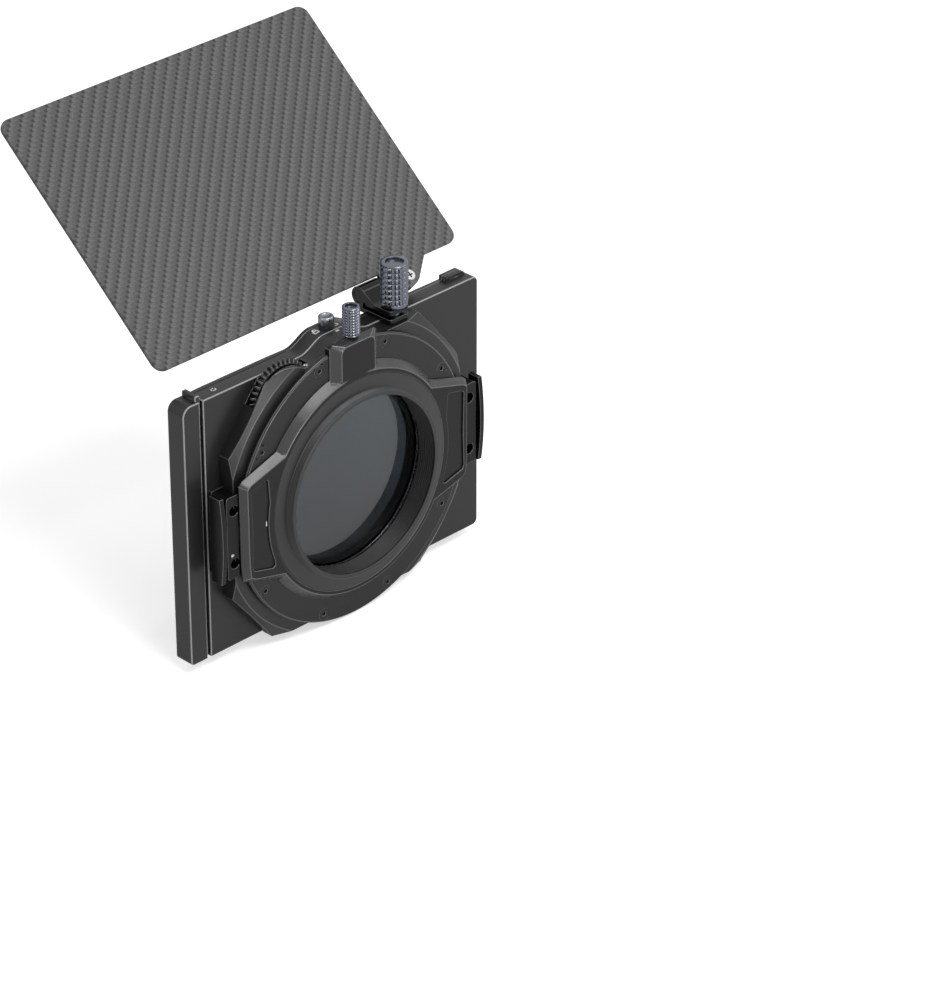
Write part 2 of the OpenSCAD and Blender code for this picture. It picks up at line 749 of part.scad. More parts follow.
module fixed_polariser() {
    y = cell_y0 + cell_lip_t;
    color("#2a2f33", 0.5) bar_y(fixed_glass_r, y, y + fixed_glass_t);
}

module polariser_clip() {
    y = cell_y0 + cell_lip_t + fixed_glass_t;
    color("#b8bcc2") difference() {
        spin_y() polygon([[fixed_glass_r - 1.1, y], [fixed_glass_r, y],
            [fixed_glass_r, cell_y1 - 0.02], [fixed_glass_r - 1.1, cell_y1 - 0.02]]);
        rotate([0, 40, 0]) block([30, y - 1, -2], [45, y + 2, 2]);
    }
}

// Bevelled solid between a base outline and a smaller face outline
module bevelled(base, face, y0, y1, land) {
    hull() {
        along_y(y0, y0 + land) polygon(base);
        along_y(y1 - 0.05, y1) polygon(face);
    }
}

// Collar with its spigot, wings, catch legs and clamp lug
module collar() {
    lug_base = [[-lug_half_w, lug_low], [-lug_half_w, lug_top - 1.2], [-lug_half_w + 1.6, lug_top],
        [lug_half_w - 1.6, lug_top], [lug_half_w, lug_top - 1.2], [lug_half_w, lug_low]];
    f = lug_face_half_w;
    lug_face = [[-f, lug_low], [-f, lug_face_top - 2.4], [-f + 0.8, lug_face_top - 0.7],
        [-f + 2.4, lug_face_top], [f - 2.4, lug_face_top], [f - 0.8, lug_face_top - 0.7],
        [f, lug_face_top - 2.4], [f, lug_low]];
    color("#2b2b2b") difference() {
        union() {
            spin_y() polygon([[collar_lip_r, spigot_y], [spigot_r, spigot_y],
                [spigot_r, collar_y], [collar_base_r, collar_y],
                [collar_base_r, collar_y + 0.2], [collar_top_r, 0], [42, 0], [42, -1]]);
            bevelled(lug_base, lug_face, collar_y, 0, 0.4);
            block([-lug_half_w, nd_y1 + fit_gap, lug_low], [lug_half_w, collar_y + eps, lug_top - 1.2]);
            both_sides() {
                bevelled(wing_base, wing_face, collar_y, 0, 0.5);
                difference() {
                    block([leg_x0, leg_end_y, -leg_half_h], [leg_x1, collar_y + 0.4, leg_half_h]);
                    block([leg_x0 - 1, slider_y0 - 0.1, -leg_half_h - 1],
                        [leg_x0 + leg_notch, slider_y1 + 0.1, leg_half_h + 1]);
                }
            }
        }
        bar_y(collar_bore_r, spigot_y + collar_lip_t, 1);
        bar_y(collar_lip_r, spigot_y - 1, 1);
        both_sides() difference() {
            along_y(-recess_d, 1) polygon(recess);
            bar_y(collar_top_r + 1.2, -2, 2);
        }
        block([-shoe_half_w - fit_gap, clamp_y - shoe_half_d - fit_gap, collar_lip_r],
            [shoe_half_w + fit_gap, clamp_y + shoe_half_d + fit_gap, shoe_top + shoe_lift + 0.1]);
        translate([0, clamp_y, collar_lip_r]) cylinder(r = clamp_screw_r + run_gap, h = 30);
    }
}

// Adapter ring: groove for the shoe inside, lens thread at the rear
module adapter_ring() {
    c = 0.4;
    color("#232425") difference() {
        spin_y() polygon([[adapter_bore_r, adapter_y0], [adapter_r, adapter_y0],
            [adapter_r, clamp_y - groove_half], [adapter_r - groove_d, clamp_y - 0.4],
            [adapter_r - groove_d, clamp_y + 0.4], [adapter_r, clamp_y + groove_half],
            [adapter_r, -0.3], [adapter_r - 0.3, 0], [thread_r, 0],
            [thread_r, thread_len - c], [thread_r - c, thread_len],
            [adapter_bore_r, thread_len]]);
        for (s = [-1, 1]) block([s * 42.4 - 0.9, -1, -0.9], [s * 42.4 + 0.9, 1, 0.9]);
    }
}

// Shoe with a wedge foot that drops into the adapter ring's groove
module clamp_shoe() {
    g = run_gap;
    color("#b39a5b") difference() {
        intersection() {
            block([-shoe_half_w, clamp_y - shoe_half_d, collar_lip_r],
                [shoe_half_w, clamp_y + shoe_half_d, shoe_top]);
            spin_y() polygon([[adapter_r - groove_d + g, clamp_y - 0.3],
                [adapter_r + g, clamp_y - groove_half + 0.05], [adapter_r + g, clamp_y - 3],
                [60, clamp_y - 3], [60, clamp_y + 3], [adapter_r + g, clamp_y + 3],
                [adapter_r + g, clamp_y + groove_half - 0.05],
                [adapter_r - groove_d + g, clamp_y + 0.3]]);
        }
        translate([0, clamp_y, shoe_top - 0.9]) cylinder(r = clamp_tip_r + run_gap, h = 2);
    }
}

// A knurled knob standing on z = 0: rows of rings between a bevelled foot and a dished top
module knurled_knob(r, h, rows, foot, dish_r) {
    cap = 0.9;
    row = (h - foot - cap) / rows;
    groove = min(0.28, r * 0.07);
    rotate_extrude() polygon(concat([[0, 0], [r - foot * 0.45, 0], [r - groove, foot]],
        [for (i = [0:rows - 1]) each [[r - groove, foot + i * row],
            [r, foot + (i + 0.3) * row], [r, foot + (i + 0.8) * row]]],
        [[r - groove, h - cap], [r - 0.25, h - cap * 0.5], [r - 0.8, h],
         [dish_r, h], [dish_r - 0.5, h - 0.7], [0, h - 0.9]]));
}

module clamp_knob() {
    color("#565b63") translate([0, clamp_y, 0]) union() {
        translate([0, 0, lug_top + 0.4])
            knurled_knob(clamp_knob_r, clamp_knob_h, 9, 0.9, clamp_knob_r - 1);
        translate([0, 0, shoe_top + 0.05])
            cylinder(r = clamp_screw_r, h = lug_top + 1 - shoe_top);
        translate([0, 0, shoe_top - 0.8]) cylinder(r = clamp_tip_r, h = 1.5);
    }
}

// Left-hand guide block of a side latch
module latch_housing() {
    g = slide_gap;
    r = 1.2;
    color("#1b1b1b") difference() {
        intersection() {
            block([latch_block_x0, latch_foot_y, -latch_block_half_h],
                [lug_x1, latch_block_y1, latch_block_half_h]);
            along_y(latch_foot_y, latch_block_y1) translate([lug_x1 - 10, 0])
                round_rect(20, 2 * latch_block_half_h, r);
        }
        block([latch_block_x0 - 1, slider_y0 - 0.2, -slider_half_h - g],
            [lug_x1 + 1, slider_y1 + 0.2, slider_half_h + g]);
        for (z = [-latch_screw_z, latch_screw_z]) {
            bar_y(latch_screw[0] + 0.3, latch_head_y - fit_gap, latch_block_y1 + 1,
                latch_screw_x, z);
            bar_y(latch_screw[1] + fit_gap, latch_foot_y - 1, latch_head_y, latch_screw_x, z);
        }
    }
}

// Left-hand latch: finger plate outside, windowed slider inside
module latch() {
    bow = ear_mid_y - ear_end_y;
    bow_r = (latch_half_h * latch_half_h + bow * bow) / (2 * bow);
    color("#232323") union() {
        intersection() {
            block([ear_x, ear_y0, -latch_half_h], [ear_x + ear_t, ear_mid_y, latch_half_h]);
            translate([ear_x - 1, ear_mid_y - bow_r, 0]) rotate([0, 90, 0])
                cylinder(r = bow_r, h = ear_t + 2, $fn = 256);
        }
        difference() {
            block([slider_x0, slider_y0, -slider_half_h],
                [ear_x + 0.5, slider_y1, slider_half_h]);
            block([leg_x0 + latch_bite, slider_y0 - 1, -leg_half_h - 1.2],
                [slider_window_x1, slider_y1 + 1, leg_half_h + 1.2]);
        }
    }
}

// Coil of round wire as one closed tube of six sides, along +X from the origin
module coil_spring(mean_r, wire, turns, len) {
    sides = 6;
    steps = 8;
    n = turns * steps;
    lead = (len - wire) / turns;
    function mid(i) = [wire / 2 + lead * i / steps,
        mean_r * cos(i * 360 / steps), mean_r * sin(i * 360 / steps)];
    function rim(i, j) = let (a = i * 360 / steps, b = j * 360 / sides)
        mid(i) + wire / 2 * (cos(b) * [0, cos(a), sin(a)] + sin(b) * [1, 0, 0]);
    polyhedron(
        points = [for (i = [0:n], j = [0:sides - 1]) rim(i, j)],
        faces = concat([[for (j = [0:sides - 1]) j]],
            [for (i = [0:n - 1], j = [0:sides - 1], t = [0, 1]) let (k = (j + 1) % sides,
                a = i * sides + j, b = i * sides + k, c = a + sides, d = b + sides)
                t == 0 ? [a, c, b] : [b, c, d]],
            [[for (j = [sides - 1:-1:0]) n * sides + j]]));
}

module latch_spring() {
    color("#b8bcc2") translate([spring_x0, (slider_y0 + slider_y1) / 2, 0])
        coil_spring(spring_r, spring_wire, spring_turns, slider_x0 - spring_x0 - 0.05);
}

module latch_screws() {
    head_y1 = latch_head_y + latch_screw[0];
    color("#1a1a1a") both_sides() for (z = [-latch_screw_z, latch_screw_z])
        translate([latch_screw_x, 0, z]) {
            bar_y(latch_screw[1], nd_y0 + 0.4, latch_head_y + eps);
            difference() {
                bar_y(latch_screw[0], latch_head_y, head_y1);
                translate([0, head_y1 - 0.9, 0]) rotate([-90, 0, 0])
                    cylinder(r = latch_screw[2], h = 2, $fn = 6);
            }
        }
}

// Split bracket: two jaws round the hinge shaft, drawn in the YZ plane
module bracket_outline() {
    base_top = base_z + jaw_base_t;
    difference() {
        union() {
            translate([hinge_y, hinge_z]) circle(r = barrel_r);
            polygon([[jaw_foot_y, base_z + fit_gap], [jaw_y, base_z + fit_gap],
                [jaw_y, jaw_top_z],
                [jaw_y - 8.6, jaw_top_z], [jaw_y - 10.2, jaw_top_z + 1.1],
                [hinge_y + 2.6, hinge_z + barrel_r - 1.1], [hinge_y, hinge_z + barrel_r - 0.2],
                [hinge_y, hinge_z], [jaw_foot_y, hinge_z - barrel_r + 0.6]]);
        }
        translate([hinge_y, hinge_z]) circle(r = hinge_r + run_gap);
        translate([hinge_y + 3.4, base_top]) square([30, jaw_slit]);
        translate([hinge_y + 2, base_top]) square([1.6, 2.6]);
    }
}

module bracket_screw_places() {
    for (s = [-1, 1]) translate([bracket_mid_x + s * bracket_screw_dx, bracket_screw_y,
        stage_top - stage_wall + head_sink]) children();
}

module flag_bracket() {
    r = 1.5;
    color("#141414") difference() {
        intersection() {
            translate([bracket_x0, 0, 0]) rotate([90, 0, 90])
                linear_extrude(bracket_x1 - bracket_x0) bracket_outline();
            translate([bracket_mid_x, jaw_y - 25, 0]) linear_extrude(100)
                round_rect(bracket_x1 - bracket_x0, 50, r);
        }
        translate([bracket_mid_x, knob_y, base_z - 1]) cylinder(r = stud_r + fit_gap, h = 20);
        bracket_screw_places() screw_seat(bracket_screw);
    }
}

module bracket_screws() {
    color("#1a1a1a") bracket_screw_places() screw(bracket_screw);
}

// Tall knob whose stud pulls the bracket's jaws together
module flag_knob() {
    color("#565b63") translate([bracket_mid_x, knob_y, 0]) union() {
        translate([0, 0, jaw_top_z + 0.15])
            knurled_knob(flag_knob_r, flag_knob_h, 7, 2.2, flag_knob_r - 1.6);
        translate([0, 0, base_z + 0.15]) cylinder(r = stud_r, h = jaw_top_z - base_z + 1);
    }
}

// Puts a shape drawn in the flag's own frame at the hinge and tilts it to its rest pitch
module at_hinge() {
    translate([0, hinge_y, hinge_z]) rotate([-flag_pitch, 0, 0]) children();
}

// Tab outline, with the near edge of the flag at y = -flag_near
module tab_outline() {
    difference() {
        polygon([[tab_x0 - 2.4, -flag_near - 1.2], [tab_x1, -flag_near - 1.2],
            [tab_x1, tab_low - tab_r], [tab_x1 - 0.6, tab_low - 0.6],
            [tab_x1 - tab_r, tab_low], [tab_low_x0 + 6.9, tab_low],
            [tab_low_x0 + 4.2, tab_low - 0.2], [tab_low_x0 + 1.9, tab_low - 0.85],
            [tab_low_x0, tab_low - 1.85], [tab_x0, -flag_near + 0.4]]);
        for (x = flag_screw_xs) translate([x, flag_screw_y]) circle(r = flag_screw_r + fit_gap);
    }
}

module flag() {
    color("#5c5c5c") at_hinge() translate([0, 0, flag_face - flag_t]) difference() {
        linear_extrude(flag_t) union() {
            translate([0, -flag_near - flag_len / 2]) round_rect(flag_w, flag_len, flag_corner);
            tab_outline();
        }
        for (x = flag_screw_xs) translate([x, flag_screw_y, flag_t - flag_screw_head_h])
            cylinder(r1 = flag_screw_r + 2 * fit_gap, r2 = flag_screw_head_r + 2 * fit_gap,
                h = flag_screw_head_h + eps);
    }
}

// Hinge shaft with the plate that the flag's tab is screwed to
module flag_arm() {
    z1 = flag_face - flag_t;
    color("#151515") at_hinge() difference() {
        union() {
            translate([tab_x1 - 16, 0, 0]) rotate([0, 90, 0])
                cylinder(r = hinge_r, h = bracket_x1 - 0.3 - tab_x1 + 16);
            translate([0, 0, z1 - arm_plate_t]) linear_extrude(arm_plate_t)
                intersection() {
                    tab_outline();
                    translate([-70, -flag_near + 0.4]) square([40, 20]);
                }
        }
        translate([tab_x0 - 5, -10, z1]) cube([tab_x1 - tab_x0 + 5, 20, 5]);
        for (x = flag_screw_xs)
            translate([x, flag_screw_y, flag_face - flag_screw_len - 0.2])
            cylinder(r = flag_screw_r + fit_gap, h = flag_screw_len + 1);
    }
}

module flag_screws() {
    color("#c4c6c9") at_hinge() for (x = flag_screw_xs)
        translate([x, flag_screw_y, flag_face]) difference() {
            union() {
                translate([0, 0, -flag_screw_head_h])
                    cylinder(r1 = flag_screw_r, r2 = flag_screw_head_r, h = flag_screw_head_h);
                translate([0, 0, -flag_screw_len])
                    cylinder(r = flag_screw_r, h = flag_screw_len - flag_screw_head_h / 2);
            }
            for (a = [0, 90]) rotate([0, 0, a]) translate([0, 0, 0.5 - flag_screw_slot])
                cube([4 * flag_screw_slot, flag_screw_slot, 1], center = true);
        }
}

front_plate();
front_screws();
stage_body();
stage_screws();
tray_leaf_spring();
filter_tray();
filter_glass();
tray_handle();
tray_screws();
lock_knob();
lock_bush();
nd_housing();
nd_ring();
turning_polariser();
nd_retaining_ring();
thumbwheel();
wheel_axle();
rear_cover();
fixed_polariser();
polariser_clip();
cover_screws();
collar();
adapter_ring();
clamp_knob();
clamp_shoe();
latch_housing();  // left_latch_housing
mirror([1, 0, 0]) latch_housing();  // right_latch_housing
latch();  // left_latch
mirror([1, 0, 0]) latch();  // right_latch
latch_spring();  // left_latch_spring
mirror([1, 0, 0]) latch_spring();  // right_latch_spring
latch_screws();
flag_bracket();
bracket_screws();
flag_knob();
flag_arm();
flag();
flag_screws();
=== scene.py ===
"""Looks of a clip-on matte box: finishes, edges, knurls, marks, studio and camera."""
import logging
import math
from collections.abc import Callable
from dataclasses import dataclass, field
from enum import Enum, IntEnum
from functools import cache

import bmesh
import bpy
from bmesh.types import BMEdge, BMesh, BMFace, BMVert
from bpy.types import Material, Mesh, Node, NodeSocket, NodeTree, Object
from mathutils import Matrix, Vector
from mathutils.geometry import area_tri, delaunay_2d_cdt


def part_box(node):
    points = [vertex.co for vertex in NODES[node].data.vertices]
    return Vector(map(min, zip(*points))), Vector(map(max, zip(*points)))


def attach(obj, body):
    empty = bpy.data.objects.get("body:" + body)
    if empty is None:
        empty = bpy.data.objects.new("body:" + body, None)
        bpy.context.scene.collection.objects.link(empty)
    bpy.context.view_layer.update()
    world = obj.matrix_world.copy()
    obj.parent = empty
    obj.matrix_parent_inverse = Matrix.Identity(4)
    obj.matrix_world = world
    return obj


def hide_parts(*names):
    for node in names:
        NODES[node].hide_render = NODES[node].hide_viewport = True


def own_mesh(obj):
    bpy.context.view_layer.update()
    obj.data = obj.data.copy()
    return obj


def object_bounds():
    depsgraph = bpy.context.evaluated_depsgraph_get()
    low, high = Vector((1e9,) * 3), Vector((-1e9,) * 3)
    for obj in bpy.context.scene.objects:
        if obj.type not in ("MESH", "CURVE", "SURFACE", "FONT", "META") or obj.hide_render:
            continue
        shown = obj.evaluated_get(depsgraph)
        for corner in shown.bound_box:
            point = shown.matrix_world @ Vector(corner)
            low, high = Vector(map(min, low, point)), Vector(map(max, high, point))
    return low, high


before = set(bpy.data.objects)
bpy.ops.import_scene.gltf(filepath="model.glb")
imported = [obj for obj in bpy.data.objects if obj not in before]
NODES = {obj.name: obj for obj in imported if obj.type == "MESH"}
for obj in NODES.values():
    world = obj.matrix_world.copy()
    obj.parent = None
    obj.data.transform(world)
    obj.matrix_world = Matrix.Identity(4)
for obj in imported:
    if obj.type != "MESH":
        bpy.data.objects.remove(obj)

CAD_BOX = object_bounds()
MM = 0.001
LOG = logging.getLogger("matte_box")
BACK = Vector((0.0, 1.0, 0.0))  # the way the mount faces
FLAG_PITCH = math.radians(40.0)
NOISE_LOW, NOISE_HIGH = 0.3, 0.7  # nearly all of a noise lies between them
FLAG_TOP = Vector((0.0, math.sin(FLAG_PITCH), math.cos(FLAG_PITCH)))

Colour = tuple[float, float, float, float]
# radius and height, and a third value where a knurl or thread runs
Level = tuple[float, float] | tuple[float, float, bool]
Place = Callable[[float, float], tuple[float, float, float]]
Stroke = list[tuple[float, float]]


def linear(colour: str) -> Colour:
    """Turns an sRGB hex colour to linear.

    Args:
        colour: six hex digits after a hash sign.

    Returns:
        Red, green, blue and a full alpha.
    """
    parts = [int(colour[i:i + 2], 16) / 255 for i in (1, 3, 5)]
    rgb = [c / 12.92 if c <= 0.04045 else ((c + 0.055) / 1.055) ** 2.4 for c in parts]
    return (*rgb, 1.0)


def shade(colour: Colour, share: float) -> Colour:
    """Scales a linear colour and leaves its alpha."""
    return (*(c * share for c in colour[:3]), colour[3])


def unit(value: float) -> float:
    """Holds a value between 0 and 1."""
    return min(1.0, max(0.0, value))


def add_node(tree: NodeTree, kind: str, links: dict | None = None,
             **settings: object) -> Node:
    """Adds a node with its settings and links.

    Args:
        tree: the node tree.
        kind: the node's type.
        links: socket name or number, with a value or the output that feeds it.
        settings: the node's own properties.

    Returns:
        The new node.
    """
    node = tree.nodes.new(kind)
    for key, value in settings.items():
        setattr(node, key, value)
    for key, value in (links or {}).items():
        socket = node.inputs[key]
        if isinstance(value, NodeSocket):
            tree.links.new(value, socket)
        else:
            socket.default_value = value
    return node


def new_material(name: str) -> tuple[Material, NodeTree]:
    """Makes a material with an empty tree.

    Args:
        name: the material's name.

    Returns:
        The material and its node tree.
    """
    material = bpy.data.materials.new(name)
    material.use_nodes = True
    material.node_tree.nodes.clear()
    return material, material.node_tree


def finish_material(tree: NodeTree, shader: Node) -> None:
    """Links a shader to a new material output.

    Args:
        tree: the node tree.
        shader: the last shader.
    """
    add_node(tree, "ShaderNodeOutputMaterial", {"Surface": shader.outputs[0]})


@dataclass(frozen=True)
class Finish:
    """A surface whose colour wanders with a fine noise, and its gloss and relief if asked."""

    name: str
    colour: str
    roughness: float = 0.5
    grain_mm: float = 1.0
    gloss_swing: float = 0.0
    detail: float = 2.0
    grain_mix: float = 0.5  # how much the noise's finer layers count
    tint: tuple[float, float] = (1.0, 1.0)  # shares of the colour in the grain's lows and highs
    patch_mm: float = 0.0
    patch_detail: float = 3.0
    patch_mix: float = 0.5
    relief_mm: float = 0.0
    ior: float | None = None
    specular: float | None = None
    metallic: float | None = None
    transmission: float | None = None

    def material(self) -> Material:
        """Builds the finish.

        Returns:
            The material.
        """
        material, tree = new_material(self.name)
        place = add_node(tree, "ShaderNodeTexCoord")
        noises = [(self.grain_mm, self.detail, self.grain_mix)]
        if self.patch_mm:
            noises.append((self.patch_mm, self.patch_detail, self.patch_mix))
        noises = [add_node(tree, "ShaderNodeTexNoise", {
            "Vector": place.outputs["Object"], "Scale": 1 / (size * MM), "Detail": detail,
            "Roughness": mix}).outputs[0] for size, detail, mix in noises]
        base = linear(self.colour)
        tint = add_node(tree, "ShaderNodeMix", {
            "Factor": noises[0], "A": shade(base, self.tint[0]),
            "B": shade(base, self.tint[1])}, data_type="RGBA")
        sockets = {"Base Color": tint.outputs["Result"], "Roughness": self.roughness,
                   "IOR": self.ior, "Specular IOR Level": self.specular,
                   "Metallic": self.metallic, "Transmission Weight": self.transmission}
        if self.gloss_swing:
            sockets["Roughness"] = add_node(tree, "ShaderNodeMapRange", {
                "Value": noises[-1], "From Min": NOISE_LOW, "From Max": NOISE_HIGH,
                "To Min": self.roughness - self.gloss_swing,
                "To Max": self.roughness + self.gloss_swing}).outputs["Result"]
        if self.relief_mm:
            sockets["Normal"] = add_node(tree, "ShaderNodeBump", {
                "Height": noises[0], "Strength": 0.5,
                "Distance": self.relief_mm * MM}).outputs[0]
        finish_material(tree, add_node(tree, "ShaderNodeBsdfPrincipled", {
            key: value for key, value in sockets.items() if value is not None}))
        return material


@dataclass(frozen=True)
class Anodised(Finish):
    """Anodised aluminium, bead blasted before dyeing: a satin skin that softens reflections."""

    roughness: float = 0.36
    grain_mm: float = 0.9  # real blast grit is near 0.1 mm, drawn coarser so that it shows
    gloss_swing: float = 0.03
    grain_mix: float = 0.6
    tint: tuple[float, float] = (0.88, 1.12)
    patch_mm: float = 22.0  # patches of slightly duller skin, as hands leave them
    relief_mm: float = 0.006
    ior: float = 1.55
    specular: float = 0.5


@dataclass(frozen=True)
class TurnedMetal(Finish):
    """Bright turned or plated metal: fine tool lines and a clear metal reflection."""

    roughness: float = 0.24
    grain_mm: float = 0.5  # real tool lines are near 0.05 mm, drawn coarser so that they show
    gloss_swing: float = 0.06
    detail: float = 3.0
    grain_mix: float = 0.7
    tint: tuple[float, float] = (0.86, 1.0)
    metallic: float = 1.0


@dataclass(frozen=True)
class CoatedGlass(Finish):
    """Polished filter glass: a neutral grey density that clouds very slightly, mirror smooth."""

    roughness: float = 0.0
    grain_mm: float = 30.0
    detail: float = 1.0
    tint: tuple[float, float] = (0.97, 1.0)
    ior: float = 1.52
    transmission: float = 1.0


@dataclass(frozen=True)
class PadPrint(Finish):
    """White pad-printed ink, a little uneven where it lies thin."""

    roughness: float = 0.55
    grain_mm: float = 0.4
    tint: tuple[float, float] = (0.85, 1.0)


@dataclass(frozen=True)
class CarbonTwill:
    """Two-by-two twill carbon laminate under a satin resin: grey tows in diagonal steps."""

    name: str
    tow_x_mm: float = 1.5
    tow_y_mm: float = 1.7
    repeat: float = 4.0  # tows before the pattern comes round
    bow: float = 1.5  # how far a tow's ends lag behind its middle, in tows
    hinge_mm: tuple[float, float, float] = (0.0, -24.2, 61.9)
    base: str = "#434343"
    gap: str = "#1f1f1f"
    crown: str = "#575757"
    fibre_scale: float = 2.2
    fibre_tint: tuple[float, float] = (0.78, 1.2)
    relief_mm: float = 0.03
    roughness: float = 0.45
    ior: float = 1.5
    specular: float = 0.3

    def material(self) -> Material:
        """Builds the finish: each tow floats over two others and steps one aside per row.

        Returns:
            The material.
        """
        material, tree = new_material(self.name)
        turn = Matrix.Rotation(FLAG_PITCH, 3, "X")
        place = add_node(tree, "ShaderNodeTexCoord")
        sheet = add_node(tree, "ShaderNodeMapping", {
            "Vector": place.outputs["Object"],
            "Location": turn @ Vector(self.hinge_mm) * -MM,
            "Rotation": (FLAG_PITCH, 0.0, 0.0)})
        tows = add_node(tree, "ShaderNodeVectorMath", {
            0: sheet.outputs[0],
            1: (-1 / (self.tow_x_mm * MM), 1 / (self.tow_y_mm * MM), 1 / MM)},
            operation="MULTIPLY")
        split = add_node(tree, "ShaderNodeSeparateXYZ", {0: tows.outputs[0]})
        made = {"across": split.outputs["X"], "down": split.outputs["Y"]}
        for name, operation, *values in (
            ("row", "FLOOR", "down"),
            ("in_row", "FRACT", "down"),
            ("off_middle", "SUBTRACT", "in_row", 0.5),
            ("middle", "ABSOLUTE", "off_middle"),
            ("bowed", "MULTIPLY", "middle", self.bow),
            ("aside", "ADD", "across", "row"),
            # twenty repeats more, so that no remainder is taken of a negative number
            ("stepped", "ADD", "aside", 20 * self.repeat),
            ("start", "SUBTRACT", "stepped", "bowed"),
            ("starts", "DIVIDE", "start", self.repeat),
            ("share", "FRACT", "starts"),
            ("repeats", "DIVIDE", "stepped", self.repeat),
            ("straight", "FRACT", "repeats"),
            # the tow that floats on top fills the first half of each repeat
            ("float_in", "RAMP", "share", 0.0, 0.06),
            ("float_out", "RAMP", "share", 0.5, 0.12),
            ("crown", "MULTIPLY", "float_in", "float_out"),
            # the dark pocket sits where one repeat ends and the next starts
            ("dark_in", "RAMP", "straight", 0.82, 0.93),
            ("dark_out", "RAMP", "straight", 0.12, 0.03),
            ("pocket_x", "MAXIMUM", "dark_in", "dark_out"),
            ("row_in", "RAMP", "in_row", 0.0, 0.18),
            ("row_out", "RAMP", "in_row", 0.95, 0.6),
            ("pocket_y", "MULTIPLY", "row_in", "row_out"),
            ("pocket", "MULTIPLY", "pocket_x", "pocket_y"),
            ("square", "MULTIPLY", "middle", "middle"),
            ("arch", "SUBTRACT", 1.0, "square"),
            ("hill", "ADD", "arch", "crown"),
            ("height", "SUBTRACT", "hill", "pocket"),
        ):
            values = [made.get(value, value) for value in values]
            if operation == "RAMP":  # a smooth step, 0 at the first number and 1 at the second
                node = add_node(tree, "ShaderNodeMapRange",
                                dict(zip(("Value", "From Min", "From Max"), values)),
                                interpolation_type="SMOOTHSTEP")
            else:
                node = add_node(tree, "ShaderNodeMath", dict(enumerate(values)),
                                operation=operation)
            made[name] = node.outputs[0]
        lit = add_node(tree, "ShaderNodeMix", {
            "Factor": made["crown"], "A": linear(self.base), "B": linear(self.crown)},
            data_type="RGBA")
        shaded = add_node(tree, "ShaderNodeMix", {
            "Factor": made["pocket"], "A": lit.outputs["Result"], "B": linear(self.gap)},
            data_type="RGBA")
        fibre = add_node(tree, "ShaderNodeTexNoise", {
            "Vector": tows.outputs[0], "Scale": self.fibre_scale, "Detail": 2.0})
        mottled = add_node(tree, "ShaderNodeMapRange", {
            "Value": fibre.outputs[0], "From Min": NOISE_LOW, "From Max": NOISE_HIGH,
            "To Min": self.fibre_tint[0], "To Max": self.fibre_tint[1]})
        final = add_node(tree, "ShaderNodeVectorMath", {
            0: shaded.outputs["Result"], "Scale": mottled.outputs[0]}, operation="SCALE")
        relief = add_node(tree, "ShaderNodeBump", {
            "Height": made["height"], "Strength": 0.4, "Distance": self.relief_mm * MM})
        shader = add_node(tree, "ShaderNodeBsdfPrincipled", {
            "Base Color": final.outputs[0], "Roughness": self.roughness, "IOR": self.ior,
            "Specular IOR Level": self.specular, "Normal": relief.outputs[0]})
        finish_material(tree, shader)
        return material


class Skin(Enum):
    """Every finish of the matte box, painted highlights and shade too, with what it gives the
    eye.
    """

    # satin near-black with a fine blasted grain
    ANODISED = Anodised("black anodised aluminium", "#19191a", specular=0.32)
    # painted highlight: a bright thin line along an edge
    EDGE = Anodised("painted highlight on anodised aluminium edge", "#828284", 0.24, tint=(0.8, 1.2))
    # painted highlight: a faint line where an edge catches less light
    SOFT_EDGE = Anodised("anodised aluminium soft edge", "#404042", 0.26)
    # smoother black, one step deeper than the stage
    COVER = Anodised("black anodised cover", "#111112", 0.33, specular=0.3)
    # black anodised, painted a step darker for the shade of the lens left out; mirrors little
    COLLAR = Anodised("black anodised collar with painted shade", "#0a0a0b", 0.3, specular=0.22)
    # painted sheen: grey on the wide bevels that slant toward the back
    BEVEL = Anodised("painted sheen on anodised bevel", "#262627", 0.27)
    # painted highlight: a thin grey outline
    COLLAR_EDGE_HIGHLIGHT = Anodised("painted highlight on black anodised edge", "#4c4c4e", 0.22)
    # darker than all round it
    LATCH = Anodised("deep black anodised latch", "#0a0a0b", 0.28, specular=0.17)
    # polished black with small sharp highlights
    BRACKET = Anodised("glossy black anodised bracket", "#050505", 0.18, relief_mm=0.001,
                       specular=0.22)
    # painted highlight: soft shine on rounded edges
    BRACKET_EDGE_HIGHLIGHT = Anodised("glossy black anodised bracket edge", "#262627", 0.14,
                            relief_mm=0.001)
    # dull black that keeps stray light down
    RING = Anodised("matt black anodised ring", "#0e0e0f", 0.42)
    # near-black with a glint on each tooth
    WHEEL = Anodised("matt black anodised wheel", "#080809", 0.3)
    # plain mid grey
    RAIL = Anodised("grey anodised aluminium", "#4a4c50", 0.34)
    # painted shade: the lightless floor of a driver recess
    SOCKET_SHADE = Anodised("painted shade in screw recess", "#040404", 0.6)
    # bluish bright knurls
    GUNMETAL = TurnedMetal("gunmetal anodised aluminium", "#70747c", 0.2)
    # smoother and lighter, with a clear bright rim
    SATIN_GUNMETAL = TurnedMetal("satin gunmetal aluminium", "#8d9198", 0.3, 3.0, 0.02)
    # dark grey twill that steps in diagonal rows
    CARBON = CarbonTwill("carbon twill laminate")
    # nearly clear glass, seen by its reflections
    FILTER = CoatedGlass("coated filter glass", "#c9cdd0")
    # smoky glass, twice in a row, that greys what is behind it
    POLARISER = CoatedGlass("polarising glass", "#8d9297")
    # dull dark screw heads
    DARK_SCREW = Anodised("black oxide screw steel", "#1e1e1f", 0.3)
    # light heads, the brightest spots on the flag
    BRIGHT_SCREW = TurnedMetal("nickel plated screw steel", "#97989a", 0.34)
    # bright bare steel
    SPRING = TurnedMetal("bare spring steel", "#b9bcc0", 0.25)
    # warm yellow
    BRASS = TurnedMetal("turned brass", "#c2a35a", 0.3)
    # crisp off-white marks
    INK = PadPrint("white pad print", "#dcdcdc")


